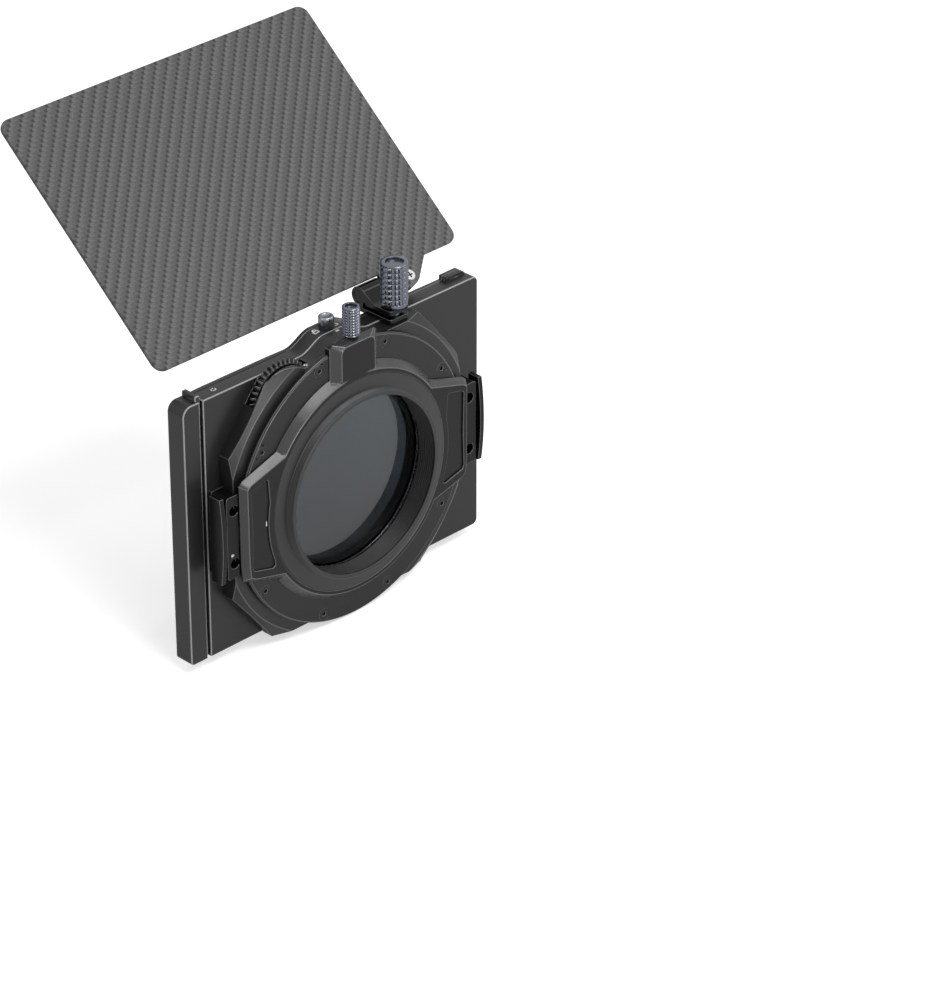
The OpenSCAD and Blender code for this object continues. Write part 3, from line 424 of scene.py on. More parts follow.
@cache
def material_of(skin: Skin) -> Material:
    """Makes a skin's material once and gives it to each piece that asks."""
    return skin.value.material()


class Zone(IntEnum):
    """The material slots of a dressed piece."""

    FACE = 0
    # broken edges: a painted highlight on most pieces, the faces' own finish on glass, carbon
    # and bright screws
    EDGE = 1
    # painted shade in driver recesses
    SOCKET_SHADE = 2
    # painted sheen on wide faces slanted toward the back
    BEVEL = 3


class Shackle(Enum):
    """How a padlock mark's shackle stands: how far aside of the body, in millimetres."""

    SHUT = 0.0
    OPEN = 0.9


class Side(Enum):
    """The two sides of the box, seen from the front, as a sign across."""

    LEFT = 1
    RIGHT = -1


def mesh_of(bm: BMesh, name: str, skins: tuple[Skin, ...] = (),
            sharp_deg: float | None = None, outward: bool = True) -> Mesh:
    """Turns a bmesh, which is freed, to a mesh with its finishes.

    Args:
        bm: the bmesh.
        name: the mesh's name.
        skins: its finishes, by slot.
        sharp_deg: the angle from which an edge stays sharp, if the rest is smooth.
        outward: whether the faces are first turned outward.

    Returns:
        The mesh.
    """
    if outward:
        bmesh.ops.recalc_face_normals(bm, faces=bm.faces)
    mesh = bpy.data.meshes.new(name)
    bm.to_mesh(mesh)
    bm.free()
    for skin in skins:
        mesh.materials.append(material_of(skin))
    if sharp_deg:
        mesh.shade_smooth()
        mesh.set_sharp_from_angle(angle=math.radians(sharp_deg))
    return mesh


def new_piece(mesh: Mesh, body: str, node: str | None = None) -> Object:
    """Makes an object of a mesh, lets it ride on its body and stand for its node.

    Args:
        mesh: the mesh, drawn in place, whose name the piece takes.
        body: the body it moves with.
        node: the node it replaces, if any.

    Returns:
        The object.
    """
    piece = bpy.data.objects.new(mesh.name, mesh)
    bpy.context.scene.collection.objects.link(piece)
    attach(piece, body)
    if node:
        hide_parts(node)
    LOG.info("%s: %d faces on %s", mesh.name, len(mesh.polygons), body)
    return piece


def bridge(bm: BMesh, rings: list[list[BMVert]]) -> None:
    """Joins closed rings of equal count, each to the next and the last to the first.

    Args:
        bm: the mesh under way.
        rings: the rings, in order.
    """
    for ring, after in zip(rings, rings[1:] + rings[:1]):
        count = len(ring)
        for i in range(count):
            j = (i + 1) % count
            bm.faces.new((ring[i], ring[j], after[j], after[i]))


def depth_beside(face: BMFace, edge: BMEdge) -> float:
    """Measures how far a face reaches from one of its edges.

    Args:
        face: the face.
        edge: one of its edges.

    Returns:
        The reach in metres.
    """
    start = edge.verts[0].co
    along = (edge.verts[1].co - start).normalized()
    inward = face.normal.cross(along)
    return max(abs((v.co - start).dot(inward)) for v in face.verts)


def winding(spot: Vector, outline: list[Vector]) -> int:
    """Counts how often a closed flat outline turns round a spot.

    Args:
        spot: the spot.
        outline: the outline's corners.

    Returns:
        The number of turns.
    """
    turns = 0
    for a, b in zip(outline, outline[1:] + outline[:1]):
        side = (b.x - a.x) * (spot.y - a.y) - (spot.x - a.x) * (b.y - a.y)
        if a.y <= spot.y < b.y and side > 0:
            turns += 1
        elif b.y <= spot.y < a.y and side < 0:
            turns -= 1
    return turns


def refill(bm: BMesh, face: BMFace) -> None:
    """Fills a flat many-sided face with triangles that stay inside its outline.

    Args:
        bm: the mesh.
        face: the face, which the triangles replace.
    """
    lay = face.normal.to_track_quat("Z", "Y").inverted()
    start = face.verts[0].co.copy()
    flat = [(lay @ (v.co - start)) / MM for v in face.verts]
    outline = [Vector((p.x, p.y)) for p in flat]
    count = len(outline)
    spots, _, triangles, source, _, _ = delaunay_2d_cdt(
        outline, [(i, (i + 1) % count) for i in range(count)], [], 0, 1e-5)
    corners = list(face.verts)
    made = [corners[source[i][0]] if source[i] else bm.verts.new(
        start + lay.inverted() @ Vector((spot.x, spot.y, 0.0)) * MM)
        for i, spot in enumerate(spots)]
    index = face.material_index
    bm.faces.remove(face)
    for triangle in triangles:
        middle = sum((spots[i] for i in triangle), Vector((0.0, 0.0))) / 3
        if winding(middle, outline) > 0:
            part = bm.faces.new([made[i] for i in triangle])
            part.material_index = index


def mend_flats(bm: BMesh, tolerance: float = 1e-4) -> None:
    """Refills each many-sided face whose own triangles would spill over its outline.

    Args:
        bm: the mesh.
        tolerance: the share of a face's area that its triangles may differ by.
    """
    bm.normal_update()
    areas: dict[BMFace, float] = {}
    for loops in bm.calc_loop_triangles():
        face = loops[0].face
        areas[face] = areas.get(face, 0.0) + area_tri(*(loop.vert.co for loop in loops))
    for face, area in areas.items():
        if len(face.verts) > 4 and abs(area - face.calc_area()) > tolerance * area:
            refill(bm, face)


def island_of(face: BMFace, left: set[BMFace]) -> list[BMFace]:
    """Takes the faces that hang together with one face out of a set.

    Args:
        face: the first face.
        left: the faces not yet taken.

    Returns:
        The faces of its island.
    """
    todo, island = [face], []
    left.discard(face)
    while todo:
        island.append(todo.pop())
        for line in island[-1].edges:
            for other in line.link_faces:
                if other in left:
                    left.discard(other)
                    todo.append(other)
    return island


@dataclass(frozen=True)
class Cut:
    """A carried-over node that gets broken edges."""

    node: str
    body: str
    slot: str
    skin: Skin
    edge_mm: float  # width of the broken edge
    # finish of the broken edges, a painted highlight unless set otherwise
    edge: Skin = Skin.EDGE
    axis: Vector | None = None  # the way screw heads face
    socket_mm: float = 0.0  # radius of their driver recess, which takes painted shade
    has_quiet: bool = False  # whether some edges keep the faces' finish instead of the painted highlight
    sheen_on_bevels: bool = False  # whether the wide slanted faces round the back get the painted sheen


Cuts = tuple[Cut, ...]
Paints = tuple[tuple[Skin | str, ...], ...]  # a finish, and the nodes that take it


@dataclass
class CadDress:
    """Dresses carried-over nodes: finish, slot, and edges broken as the real ones are."""

    cuts: Cuts = ()
    paints: Paints = ()
    sharp_deg: float = 28.0
    smooth_deg: float = 38.0
    flat_deg: float = 0.6
    weld_mm: float = 0.0005
    clear_share: float = 1.15  # how much wider than the broken edge its faces have to be
    # depths between which a driver recess takes painted shade
    socket_top_mm: float = 0.04
    socket_floor_mm: float = 1.6
    # the low and high of a face's lean toward the back, as its normal's y, for the painted sheen
    bevel_tilt: tuple[float, float] = (0.35, 0.93)

    def is_quiet(self, spot: Vector) -> bool:
        """Says whether a broken edge keeps the faces' finish: none does unless told."""
        # a quiet edge goes without its painted highlight
        return False

    def build(self) -> None:
        """Dresses the nodes of both tables."""
        for cut in self.cuts:
            self.edged(cut)
        for skin, *nodes in self.paints:
            self.paint(skin, *nodes)

    def paint(self, skin: Skin, *nodes: str) -> None:
        """Gives nodes a finish as they are.

        Args:
            skin: the finish.
            nodes: the nodes.
        """
        for name in nodes:
            piece = NODES[name]
            if not piece.material_slots:
                piece.data.materials.append(None)
            for holder in piece.material_slots:
                holder.link = "OBJECT"
                holder.material = material_of(skin)
            LOG.info("%s keeps its shape, in %s", name, skin.value.name)

    def paint_socket_shade(self, bm: BMesh, axis: Vector, reach_mm: float) -> None:
        """Gives the faces inside every screw's driver recess a painted shade.

        Args:
            bm: the mesh of the screws.
            axis: the way the heads face.
            reach_mm: the recess's radius.
        """
        left = set(bm.faces)
        while left:
            island = island_of(next(iter(left)), left)
            verts = {v for face in island for v in face.verts}
            top = max(v.co.dot(axis) for v in verts)
            flat = [v.co - axis * v.co.dot(axis) for v in verts]
            centre = Vector((min(p[i] for p in flat) + max(p[i] for p in flat)) / 2
                            for i in range(3))
            for face in island:
                spot = face.calc_center_median()
                depth = top - spot.dot(axis)
                beside = (spot - axis * spot.dot(axis) - centre).length
                if (self.socket_top_mm * MM < depth < self.socket_floor_mm * MM
                        and beside < reach_mm * MM):
                    face.material_index = Zone.SOCKET_SHADE

    def edged(self, cut: Cut) -> None:
        """Replaces a node by a copy whose outer edges are broken, most in a painted highlight.

        Args:
            cut: the node, with its finishes and the width of its edges.
        """
        width = cut.edge_mm * MM
        bm = bmesh.new()
        bm.from_mesh(NODES[cut.node].data)
        bmesh.ops.remove_doubles(bm, verts=bm.verts, dist=self.weld_mm * MM)
        bmesh.ops.dissolve_limit(bm, angle_limit=math.radians(self.flat_deg),
                                 verts=bm.verts, edges=bm.edges)
        bm.normal_update()
        limit = math.radians(self.sharp_deg)
        broken = [line for line in bm.edges
                  if len(line.link_faces) == 2 and line.calc_face_angle_signed(0.0) >= limit
                  and all(depth_beside(face, line) > self.clear_share * width
                          for face in line.link_faces)]
        # faces slanted toward the back take the painted sheen, where asked
        for face in bm.faces:
            slanted = self.bevel_tilt[0] < face.normal.y < self.bevel_tilt[1]
            face.material_index = Zone.BEVEL if cut.sheen_on_bevels and slanted else Zone.FACE
        # driver recesses take painted shade
        if cut.axis:
            self.paint_socket_shade(bm, cut.axis, cut.socket_mm)
        # the broken edges take the edge slot, a painted highlight on most pieces
        bmesh.ops.bevel(bm, geom=broken, offset=width * 0.5, offset_type="OFFSET",
                        segments=2, profile=0.5, affect="EDGES", clamp_overlap=False,
                        material=Zone.EDGE)
        # quiet edges go back to the faces' finish, without the painted highlight
        for face in bm.faces:
            if (cut.has_quiet and face.material_index == Zone.EDGE
                    and self.is_quiet(face.calc_center_median())):
                face.material_index = Zone.FACE
        mend_flats(bm)
        mesh = mesh_of(bm, cut.node + "_edged", (cut.skin, cut.edge, Skin.SOCKET_SHADE, Skin.BEVEL),
                       self.smooth_deg, outward=False)
        piece = new_piece(mesh, cut.body, cut.node)
        weights = piece.modifiers.new("face_weights", "WEIGHTED_NORMAL")
        weights.keep_sharp = True

    def coil(self, node: str, joint: str, seat: float, press: float) -> None:
        """Replaces a coil spring by a copy in spring steel, fixed to the box.

        Args:
            node: the spring.
            joint: the latch's joint; not used.
            seat: the place across of the end that stays put, in millimetres; not used.
            press: how far the latch goes in, in millimetres; not used.
        """
        mesh = NODES[node].data.copy()
        mesh.name = node + "_coil"
        mesh.materials.clear()
        mesh.materials.append(material_of(Skin.SPRING))
        piece = new_piece(mesh, "box", node)
        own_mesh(piece)


@dataclass
class TurnedPiece:
    """A piece drawn by levels of radius and height, with knurled rings where a level asks."""

    name: str
    levels: list[Level]
    centre: tuple[float, float]
    columns: int = 22
    groove_mm: float = 0.3
    land: float = 0.56  # share of a column that stands at full radius
    around: int = 4  # samples per column
    sharp_deg: float = 32.0

    def radius(self, level: Level, sample: int) -> float:
        """Gives the radius at a level and an angle sample.

        Args:
            level: the level.
            sample: the number of the angle sample.

        Returns:
            The radius in millimetres.
        """
        if level[2:] and sample % self.around == 0:
            return level[0] - self.groove_mm
        return level[0]

    def angles(self) -> list[float]:
        """Spreads the samples round: a groove's middle, then its land's edges and middle.

        Returns:
            The angle of each sample.
        """
        pitch = 2 * math.pi / self.columns
        side = (1 - self.land) / 2
        return [pitch * (c + s) for c in range(self.columns) for s in (0.0, side, 0.5, 1 - side)]

    def mesh(self, skin: Skin) -> Mesh:
        """Builds the closed mesh, standing up Z at its centre.

        Args:
            skin: the finish.

        Returns:
            The mesh.
        """
        bm = bmesh.new()
        angles = self.angles()
        count = len(angles)
        cx, cy = self.centre
        rings = []
        for level in self.levels:
            spread = enumerate(angles) if level[0] else [(1, 0.0)]
            rings.append([bm.verts.new((
                (cx + self.radius(level, number) * math.cos(angle)) * MM,
                (cy + self.radius(level, number) * math.sin(angle)) * MM,
                level[1] * MM)) for number, angle in spread])
        for low, high in zip(rings, rings[1:]):
            for i in range(count):
                j = (i + 1) % count
                if len(low) == 1:
                    bm.faces.new((low[0], high[j], high[i]))
                elif len(high) == 1:
                    bm.faces.new((low[i], low[j], high[0]))
                else:
                    bm.faces.new((low[i], low[j], high[j], high[i]))
        return mesh_of(bm, self.name, (skin,), self.sharp_deg)


@dataclass
class KnurledKnob:
    """A gunmetal knob with rows of pyramid knurls between a plain foot and a dished top."""

    node: str
    body: str
    centre: tuple[float, float]
    radius: float
    foot_z: float
    rows: int
    foot: float
    dish: float
    shank: tuple[tuple[float, float], ...]  # radius, height above the shank's tip
    columns: int = 22
    cap: float = 0.9
    groove: float = field(init=False)
    height: float = field(init=False)
    tip: float = field(init=False)

    def __post_init__(self) -> None:
        """Takes the height and the shank's tip from the knob it replaces."""
        low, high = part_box(self.node)
        self.tip = low.z / MM
        self.height = high.z / MM - self.foot_z
        self.groove = min(0.45, self.radius * 0.1)

    def levels(self) -> list[Level]:
        """Lists the levels from the shank's tip up to the dish's middle.

        Returns:
            Radius, height and knurl of each level.
        """
        r, z, groove = self.radius, self.foot_z, self.groove
        row = (self.height - self.foot - self.cap) / self.rows
        out = [(radius, self.tip + up) for radius, up in self.shank]
        out.append((self.shank[-1][0], z))
        for share, drop in ((0.0, 0.45), (0.12, 0.32), (0.35, 0.16), (0.65, 0.05)):
            out.append((r - self.foot * drop, z + self.foot * share))
        out.append((r - groove * 0.5, z + self.foot * 0.95))
        for i in range(self.rows):
            start = z + self.foot + i * row
            out += [(r - groove, start + 0.03 * row), (r, start + 0.22 * row, True),
                    (r, start + 0.66 * row, True), (r - groove, start + row * 0.94)]
        top = z + self.height
        out += [(r - 0.05, top - self.cap * 0.8), (r, top - self.cap * 0.66),
                (r - 0.06, top - self.cap * 0.34), (r - 0.3, top - 0.1), (r - 0.55, top),
                (self.dish + 0.05, top), (self.dish - 0.2, top - 0.16),
                (self.dish - 0.4, top - 1.15), (self.dish * 0.55, top - 1.4),
                (0.3, top - 1.45), (0, top - 1.45)]
        return out

    def build(self) -> None:
        """Builds the knob in its node's place."""
        shape = TurnedPiece(self.node + "_knurled", self.levels(), self.centre,
                            self.columns, self.groove)
        new_piece(shape.mesh(Skin.GUNMETAL), self.body, self.node)


@dataclass
class LockKnob:
    """The tray lock: a small turned knob with a broken top rim, on its own screw."""

    centre: tuple[float, float] = (0.0, -17.6)
    radius: float = 3.1
    foot_z: float = 60.85
    top_z: float = 65.0
    screw_r: float = 1.5
    dish_r: float = 2.15

    def build(self) -> None:
        """Builds the knob and its screw."""
        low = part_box("lock_knob")[0].z / MM
        r, z0, z1, dish = self.radius, self.foot_z, self.top_z, self.dish_r
        section = [(0, low), (self.screw_r - 0.4, low), (self.screw_r, low + 0.4),
                   (self.screw_r, z0), (r - 0.5, z0), (r - 0.2, z0 + 0.12), (r, z0 + 0.45),
                   (r, z1 - 0.75), (r - 0.1, z1 - 0.42), (r - 0.32, z1 - 0.12), (r - 0.6, z1),
                   (dish, z1), (dish - 0.15, z1 - 0.06), (dish - 0.35, z1 - 0.35),
                   (dish - 0.65, z1 - 0.55), (0, z1 - 0.6)]
        shape = TurnedPiece("lock_knob_turned", section, self.centre)
        new_piece(shape.mesh(Skin.SATIN_GUNMETAL), "lock", "lock_knob")


@dataclass
class ToothedWheel:
    """The thumbwheel: domed, with rounded teeth that die out toward the back."""

    teeth: int = 40
    per_tooth: int = 12
    bore_mm: float = 1.56
    gap_mm: float = 0.9  # clear of the slot's rear wall
    tip_clear_mm: float = 0.02
    depth_modules: float = 2.25  # a full tooth's depth
    crest: float = 0.36  # half width of a tooth's foot, as a share of the pitch
    flank: float = 0.24
    plain_from: float = 0.86  # share of the width where the teeth have died out
    fade: float = 0.3
    sharp_deg: float = 40.0
    dome: tuple[tuple[float, float], ...] = (
        (0.0, 1.15), (0.06, 0.72), (0.18, 0.32), (0.34, 0.08), (0.5, 0.0), (0.66, 0.08),
        (0.82, 0.32), (0.94, 0.72), (1.0, 1.15))  # share of the width, drop in millimetres

    def rise(self, share: float, sample: int) -> float:
        """Gives how much of its height a tooth has at a place.

        Args:
            share: the place along the wheel's width.
            sample: the number of the angle sample.

        Returns:
            The share of the height.
        """
        phase = (sample / self.per_tooth + 0.5) % 1.0 - 0.5
        flank = unit((self.crest - abs(phase)) / self.flank)
        return math.sin(flank * unit((self.plain_from - share) / self.fade) * math.pi / 2)

    def build(self) -> None:
        """Builds the wheel in its node's place."""
        low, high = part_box("thumbwheel")
        cx, cz = (low.x + high.x) / 2, (low.z + high.z) / 2
        tip = (high.x - low.x) / 2 - self.tip_clear_mm * MM
        root = tip - self.depth_modules * 2 * tip / (self.teeth + 2)
        back = high.y - self.gap_mm * MM
        count = self.teeth * self.per_tooth
        levels = [(low.y + share * (back - low.y),
                   [root + (tip - drop * MM - root) * self.rise(share, n)
                    for n in range(count)]) for share, drop in self.dome]
        bore = [self.bore_mm * MM] * count
        levels += [(back, bore), (low.y, bore)]
        first = math.atan2(-cz, -cx)
        turns = [first + 2 * math.pi * n / count for n in range(count)]
        bm = bmesh.new()
        bridge(bm, [[bm.verts.new((cx + r * math.cos(a), y, cz + r * math.sin(a)))
                     for r, a in zip(radii, turns)] for y, radii in levels])
        mesh = mesh_of(bm, "thumbwheel_toothed", (Skin.WHEEL,), self.sharp_deg)
        new_piece(mesh, "wheel", "thumbwheel")


@dataclass
class AdapterThread:
    """The adapter ring with its lens thread cut as a true helix."""

    pitch: float = 0.75
    depth: float = 0.38
    thread_r: float = 38.4
    thread_end: float = 3.5
    thread_steps: int = 40
    bore_r: float = 36.5
    outer_r: float = 44.35
    front: float = -5.85
    groove_y: float = -3.9
    groove_deep: float = 1.4
    trap_steps: int = 9  # fine grooves down the bore, which catch stray light
    trap_deep: float = 0.12
    around: int = 216
    sharp_deg: float = 30.0

    def profile(self) -> list[Level]:
        """Lists the section, round from the bore's front edge.

        Returns:
            Radius, depth along the lens axis, and whether the thread runs there.
        """
        outer, front, bore = self.outer_r, self.front, self.bore_r
        thread, end = self.thread_r, self.thread_end
        floor = outer - self.groove_deep
        out = [(bore, front + 0.2), (bore + 0.2, front),
               (outer - 0.3, front), (outer, front + 0.3),
               (outer, self.groove_y - 1.35), (floor, self.groove_y - 0.4),
               (floor, self.groove_y + 0.4), (outer, self.groove_y + 1.35),
               (outer, -0.3), (outer - 0.09, -0.09), (outer - 0.3, 0.0),
               (thread + 0.25, 0.0), (thread, 0.12)]
        out += [(thread, 0.2 + i * (end - 0.5) / self.thread_steps, True)
                for i in range(self.thread_steps + 1)]
        out += [(thread - 0.4, end), (bore + 0.15, end), (bore, end - 0.15)]
        for i in range(1, self.trap_steps):
            y = end - 0.3 - i * (end - front - 0.6) / self.trap_steps
            out += [(bore, y), (bore + self.trap_deep, y - 0.15), (bore, y - 0.3)]
        return out

    def radius(self, point: Level, angle: float) -> float:
        """Gives the radius at an angle, with the thread's flank where it runs.

        Args:
            point: the section's point.
            angle: the angle about the lens axis.

        Returns:
            The radius in millimetres.
        """
        if not point[2:]:
            return point[0]
        share = (point[1] / self.pitch + angle / (2 * math.pi)) % 1.0
        ends = min(unit((point[1] - 0.1) / 0.4), unit((self.thread_end - 0.25 - point[1]) / 0.4))
        return point[0] - self.depth * ends * (1 - abs(2 * share - 1))

    def build(self) -> None:
        """Builds the ring in its node's place."""
        section = self.profile()
        turns = [2 * math.pi * n / self.around for n in range(self.around)]
        bm = bmesh.new()
        bridge(bm, [[bm.verts.new((self.radius(point, a) * math.cos(a) * MM, point[1] * MM,
                                   self.radius(point, a) * math.sin(a) * MM))
                     for point in section] for a in turns])
        mesh = mesh_of(bm, "adapter_ring_threaded", (Skin.RING,), self.sharp_deg)
        new_piece(mesh, "adapter", "adapter_ring")


@dataclass
class SheetMark:
    """Pad-printed marks: generic lock, sign and index shapes laid on the surface."""

    lift_mm: float = 0.02
    stroke_mm: float = 0.4
    step_mm: float = 0.3

    def ribbon(self, bm: BMesh, points: Stroke, place: Place, width: float) -> None:
        """Adds one stroke as a strip that follows the surface.

        Args:
            bm: the mesh under way.
            points: the stroke's corners, in millimetres.
            place: turns a flat point to its place on the surface.
            width: the stroke's width.
        """
        for (x0, y0), (x1, y1) in zip(points, points[1:]):
            length = math.hypot(x1 - x0, y1 - y0)
            ux, uy = (x1 - x0) / length, (y1 - y0) / length
            x0, y0 = x0 - ux * width / 2, y0 - uy * width / 2
            total = length + width
            steps = max(1, round(total / self.step_mm))
            before = None
            for i in range(steps + 1):
                cx, cy = x0 + ux * total * i / steps, y0 + uy * total * i / steps
                pair = [bm.verts.new(place(cx - uy * s * width / 2, cy + ux * s * width / 2))
                        for s in (-1, 1)]
                if before:
                    bm.faces.new((before[0], pair[0], pair[1], before[1]))
                before = pair

    def draw(self, name: str, strokes: list[Stroke], place: Place,
             width: float | None = None) -> None:
        """Builds one mark.

        Args:
            name: the piece's name.
            strokes: its strokes.
            place: turns a flat point to its place on the surface.
            width: the strokes' width, if not the usual one.
        """
        bm = bmesh.new()
        for stroke in strokes:
            self.ribbon(bm, stroke, place, width or self.stroke_mm)
        mesh = mesh_of(bm, name, (Skin.INK,))
        new_piece(mesh, "box")


def padlock(shackle: Shackle) -> list[Stroke]:
    """Draws a padlock pictogram about the origin, 3 mm high.

    Args:
        shackle: how the shackle stands.

    Returns:
        The strokes.
    """
    body = [(-1.0, -1.3), (1.0, -1.3), (1.0, 0.1), (-1.0, 0.1), (-1.0, -1.3)]
    radius, aside = 0.6, shackle.value
    arc = [(aside + radius * math.cos(a), 0.65 + radius * math.sin(a))
           for a in (math.pi * k / 6 for k in range(7))]
    return [body, [(aside + radius, 0.2)] + arc + [(aside - radius, 0.2)]]


@dataclass
class FilterStage(CadDress):
    """The stage that holds the tray: front plate, body, screws, spring and lock bush."""

    cuts: Cuts = (
        Cut("front_plate", "box", "anodised", Skin.ANODISED, 0.85, Skin.SOFT_EDGE),
        Cut("stage_body", "box", "anodised", Skin.ANODISED, 0.85, has_quiet=True))
    paints: Paints = (
        (Skin.DARK_SCREW, "front_screws", "stage_screws"),
        (Skin.SPRING, "tray_leaf_spring"), (Skin.RAIL, "lock_bush"))
    top_z: float = 55.75
    hump_z: float = 60.4
    hump_flat: float = 5.0
    hump_base: float = 18.0
    rest_x: float = -60.0
    rest_rise: float = 0.6  # how far above the top the rest block's own edges start
    dark_depth: float = 1.5  # how far behind the front its edges stay dark, without the painted highlight
    marks: tuple[tuple[str, list[Stroke], tuple[float, float], float, float | None], ...] = (
        ("mark_lock_left", padlock(Shackle.SHUT), (57.8, -17.6), 55.75, None),
        ("mark_lock_knob", padlock(Shackle.SHUT), (5.9, -17.4), 55.75, None),
        ("mark_lock_right", padlock(Shackle.OPEN), (-38.4, -16.4), 55.75, None),
        ("mark_arrow", [[(-0.3, 1.5), (0.0, 0.0), (-1.5, 0.2)]], (-4.4, -15.3), 55.75, None),
        ("mark_index", [[(-0.3, 0.0), (0.3, 0.0)]], (-0.4, -11.9), 55.3, 1.0),
        ("mark_minus", [[(-0.7, 0.0), (0.7, 0.0)]], (26.3, -7.9), 55.3, None),
        ("mark_plus", [[(-0.75, 0.0), (0.75, 0.0)], [(0.0, -0.75), (0.0, 0.75)]],
         (20.2, -7.5), 55.3, None),
    )  # name, strokes, middle, height of the top beside the hump, width of stroke
    front_y: float = field(init=False)

    def __post_init__(self) -> None:
        """Takes the depth of the edges by the front plate from the body."""
        self.front_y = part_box("stage_body")[0].y + self.dark_depth * MM

    def is_quiet(self, spot: Vector) -> bool:
        """Says whether an edge is on the rest block or by the front plate, where it is dark."""
        # edges here keep the faces' finish: no painted highlight where it is dark
        on_rest = spot.x < self.rest_x * MM and spot.z > (self.top_z + self.rest_rise) * MM
        return on_rest or spot.y < self.front_y

    def height(self, x: float, base: float) -> float:
        """Gives the height of the humped top at a place.

        Args:
            x: the place across.
            base: the height beside the hump.

        Returns:
            The height in millimetres.
        """
        share = unit((self.hump_base - abs(x)) / (self.hump_base - self.hump_flat))
        return base + (self.hump_z - base) * (0.5 - 0.5 * math.cos(math.pi * share))

    def on_top(self, at: tuple[float, float], base: float, lift: float) -> Place:
        """Gives the function that lays a mark on the top, read from behind.

        Args:
            at: the mark's middle, across and along the lens axis.
            base: the height of the top beside the hump.
            lift: how far the ink stands proud, in millimetres.

        Returns:
            The function.
        """
        def place(x: float, y: float) -> tuple[float, float, float]:
            """Lays one point on the top."""
            px, py = at[0] - x, at[1] - y
            return px * MM, py * MM, (self.height(px, base) + lift) * MM
        return place

    def build(self) -> None:
        """Dresses the pieces and prints the marks."""
        super().build()
        ink = SheetMark()
        for name, strokes, at, base, width in self.marks:
            ink.draw(name, strokes, self.on_top(at, base, ink.lift_mm), width)


@dataclass
class FilterTray(CadDress):
    """The sliding tray: rails, glass, handle and its screws."""

    cuts: Cuts = (
        Cut("tray_handle", "tray", "anodised", Skin.ANODISED, 0.85),
        Cut("filter_glass", "tray", "filter_glass", Skin.FILTER, 0.3, Skin.FILTER))
    paints: Paints = (
        (Skin.RAIL, "filter_tray"), (Skin.DARK_SCREW, "tray_screws"))


@dataclass
class DensityModule(CadDress):
    """The variable density module: housing, turning filter, wheel, cover and fixed filter."""

    cuts: Cuts = (
        Cut("nd_housing", "box", "anodised", Skin.ANODISED, 0.5, Skin.SOFT_EDGE),
        Cut("rear_cover", "box", "cover_anodised", Skin.COVER, 0.4, Skin.SOFT_EDGE),
        Cut("turning_polariser", "nd_filter", "polariser_glass", Skin.POLARISER, 0.2,
            Skin.POLARISER),
        Cut("fixed_polariser", "box", "polariser_glass", Skin.POLARISER, 0.2, Skin.POLARISER),
        Cut("cover_screws", "box", "dark_screw", Skin.COVER, 0.14, axis=BACK, socket_mm=1.5))
    paints: Paints = (
        (Skin.RING, "nd_ring", "nd_retaining_ring"),
        (Skin.SPRING, "wheel_axle", "polariser_clip"))

    def build(self) -> None:
        """Dresses the pieces and cuts the thumbwheel's teeth."""
        super().build()
        ToothedWheel().build()


@dataclass
class Collar(CadDress):
    """The collar with its latches, clamp and adapter ring."""

    cuts: Cuts = (
        Cut("collar", "box", "cover_anodised", Skin.COLLAR, 0.5, Skin.COLLAR_EDGE_HIGHLIGHT,
            sheen_on_bevels=True),
        *(cut for side in Side for cut in (
            Cut(f"{side.name.lower()}_latch_housing", "box", "latch_black", Skin.LATCH, 0.3,
                Skin.COLLAR_EDGE_HIGHLIGHT),
            Cut(f"{side.name.lower()}_latch", f"latch_{side.name.lower()}", "latch_black",
                Skin.LATCH, 0.35, Skin.COLLAR_EDGE_HIGHLIGHT))),
        Cut("latch_screws", "box", "dark_screw", Skin.DARK_SCREW, 0.14, axis=BACK,
            socket_mm=1.0))
    paints: Paints = ((Skin.BRASS, "clamp_shoe"),)
    spring_seat: float = 49.6
    press: float = 1.0
    latch_mark_at: tuple[float, float, float] = (62.9, -3.2, -7.5)
    wing_mark_at: tuple[float, float, float] = (47.9, -0.7, 1.1)

    def clamp_knob(self) -> KnurledKnob:
        """Sizes the clamp knob, with the peg that holds its shoe.

        Returns:
            The knob.
        """
        return KnurledKnob("clamp_knob", "clamp", (0.0, -3.9), radius=3.45, foot_z=61.9,
                           rows=9, foot=0.9, dish=2.45, columns=20,
                           shank=((0, 0), (0.9, 0), (0.9, 0.85), (1.45, 0.85)))

    def on_back(self, at: tuple[float, float, float], lift: float) -> Place:
        """Gives the function that lays a mark on a face toward the camera.

        Args:
            at: the mark's middle, across, along the lens axis and in height.
            lift: how far the ink stands proud, in millimetres.

        Returns:
            The function.
        """
        def place(x: float, z: float) -> tuple[float, float, float]:
            """Lays one point on the face."""
            return (at[0] - x) * MM, (at[1] + lift) * MM, (at[2] + z) * MM
        return place

    def build(self) -> None:
        """Dresses the pieces, cuts the lens thread and prints the index marks."""
        super().build()
        for side in Side:
            name = side.name.lower()
            self.coil(f"{name}_latch_spring", f"{name}_latch_press",
                      self.spring_seat * side.value, self.press)
        self.clamp_knob().build()
        AdapterThread().build()
        marks = SheetMark()
        marks.draw("mark_latch", [[(-0.5, -0.5), (0.6, 0.0), (-0.5, 0.5), (-0.5, -0.5)]],
                   self.on_back(self.latch_mark_at, marks.lift_mm))
        marks.draw("mark_wing", [[(0.0, -0.8), (0.0, 0.8)]],
                   self.on_back(self.wing_mark_at, marks.lift_mm))


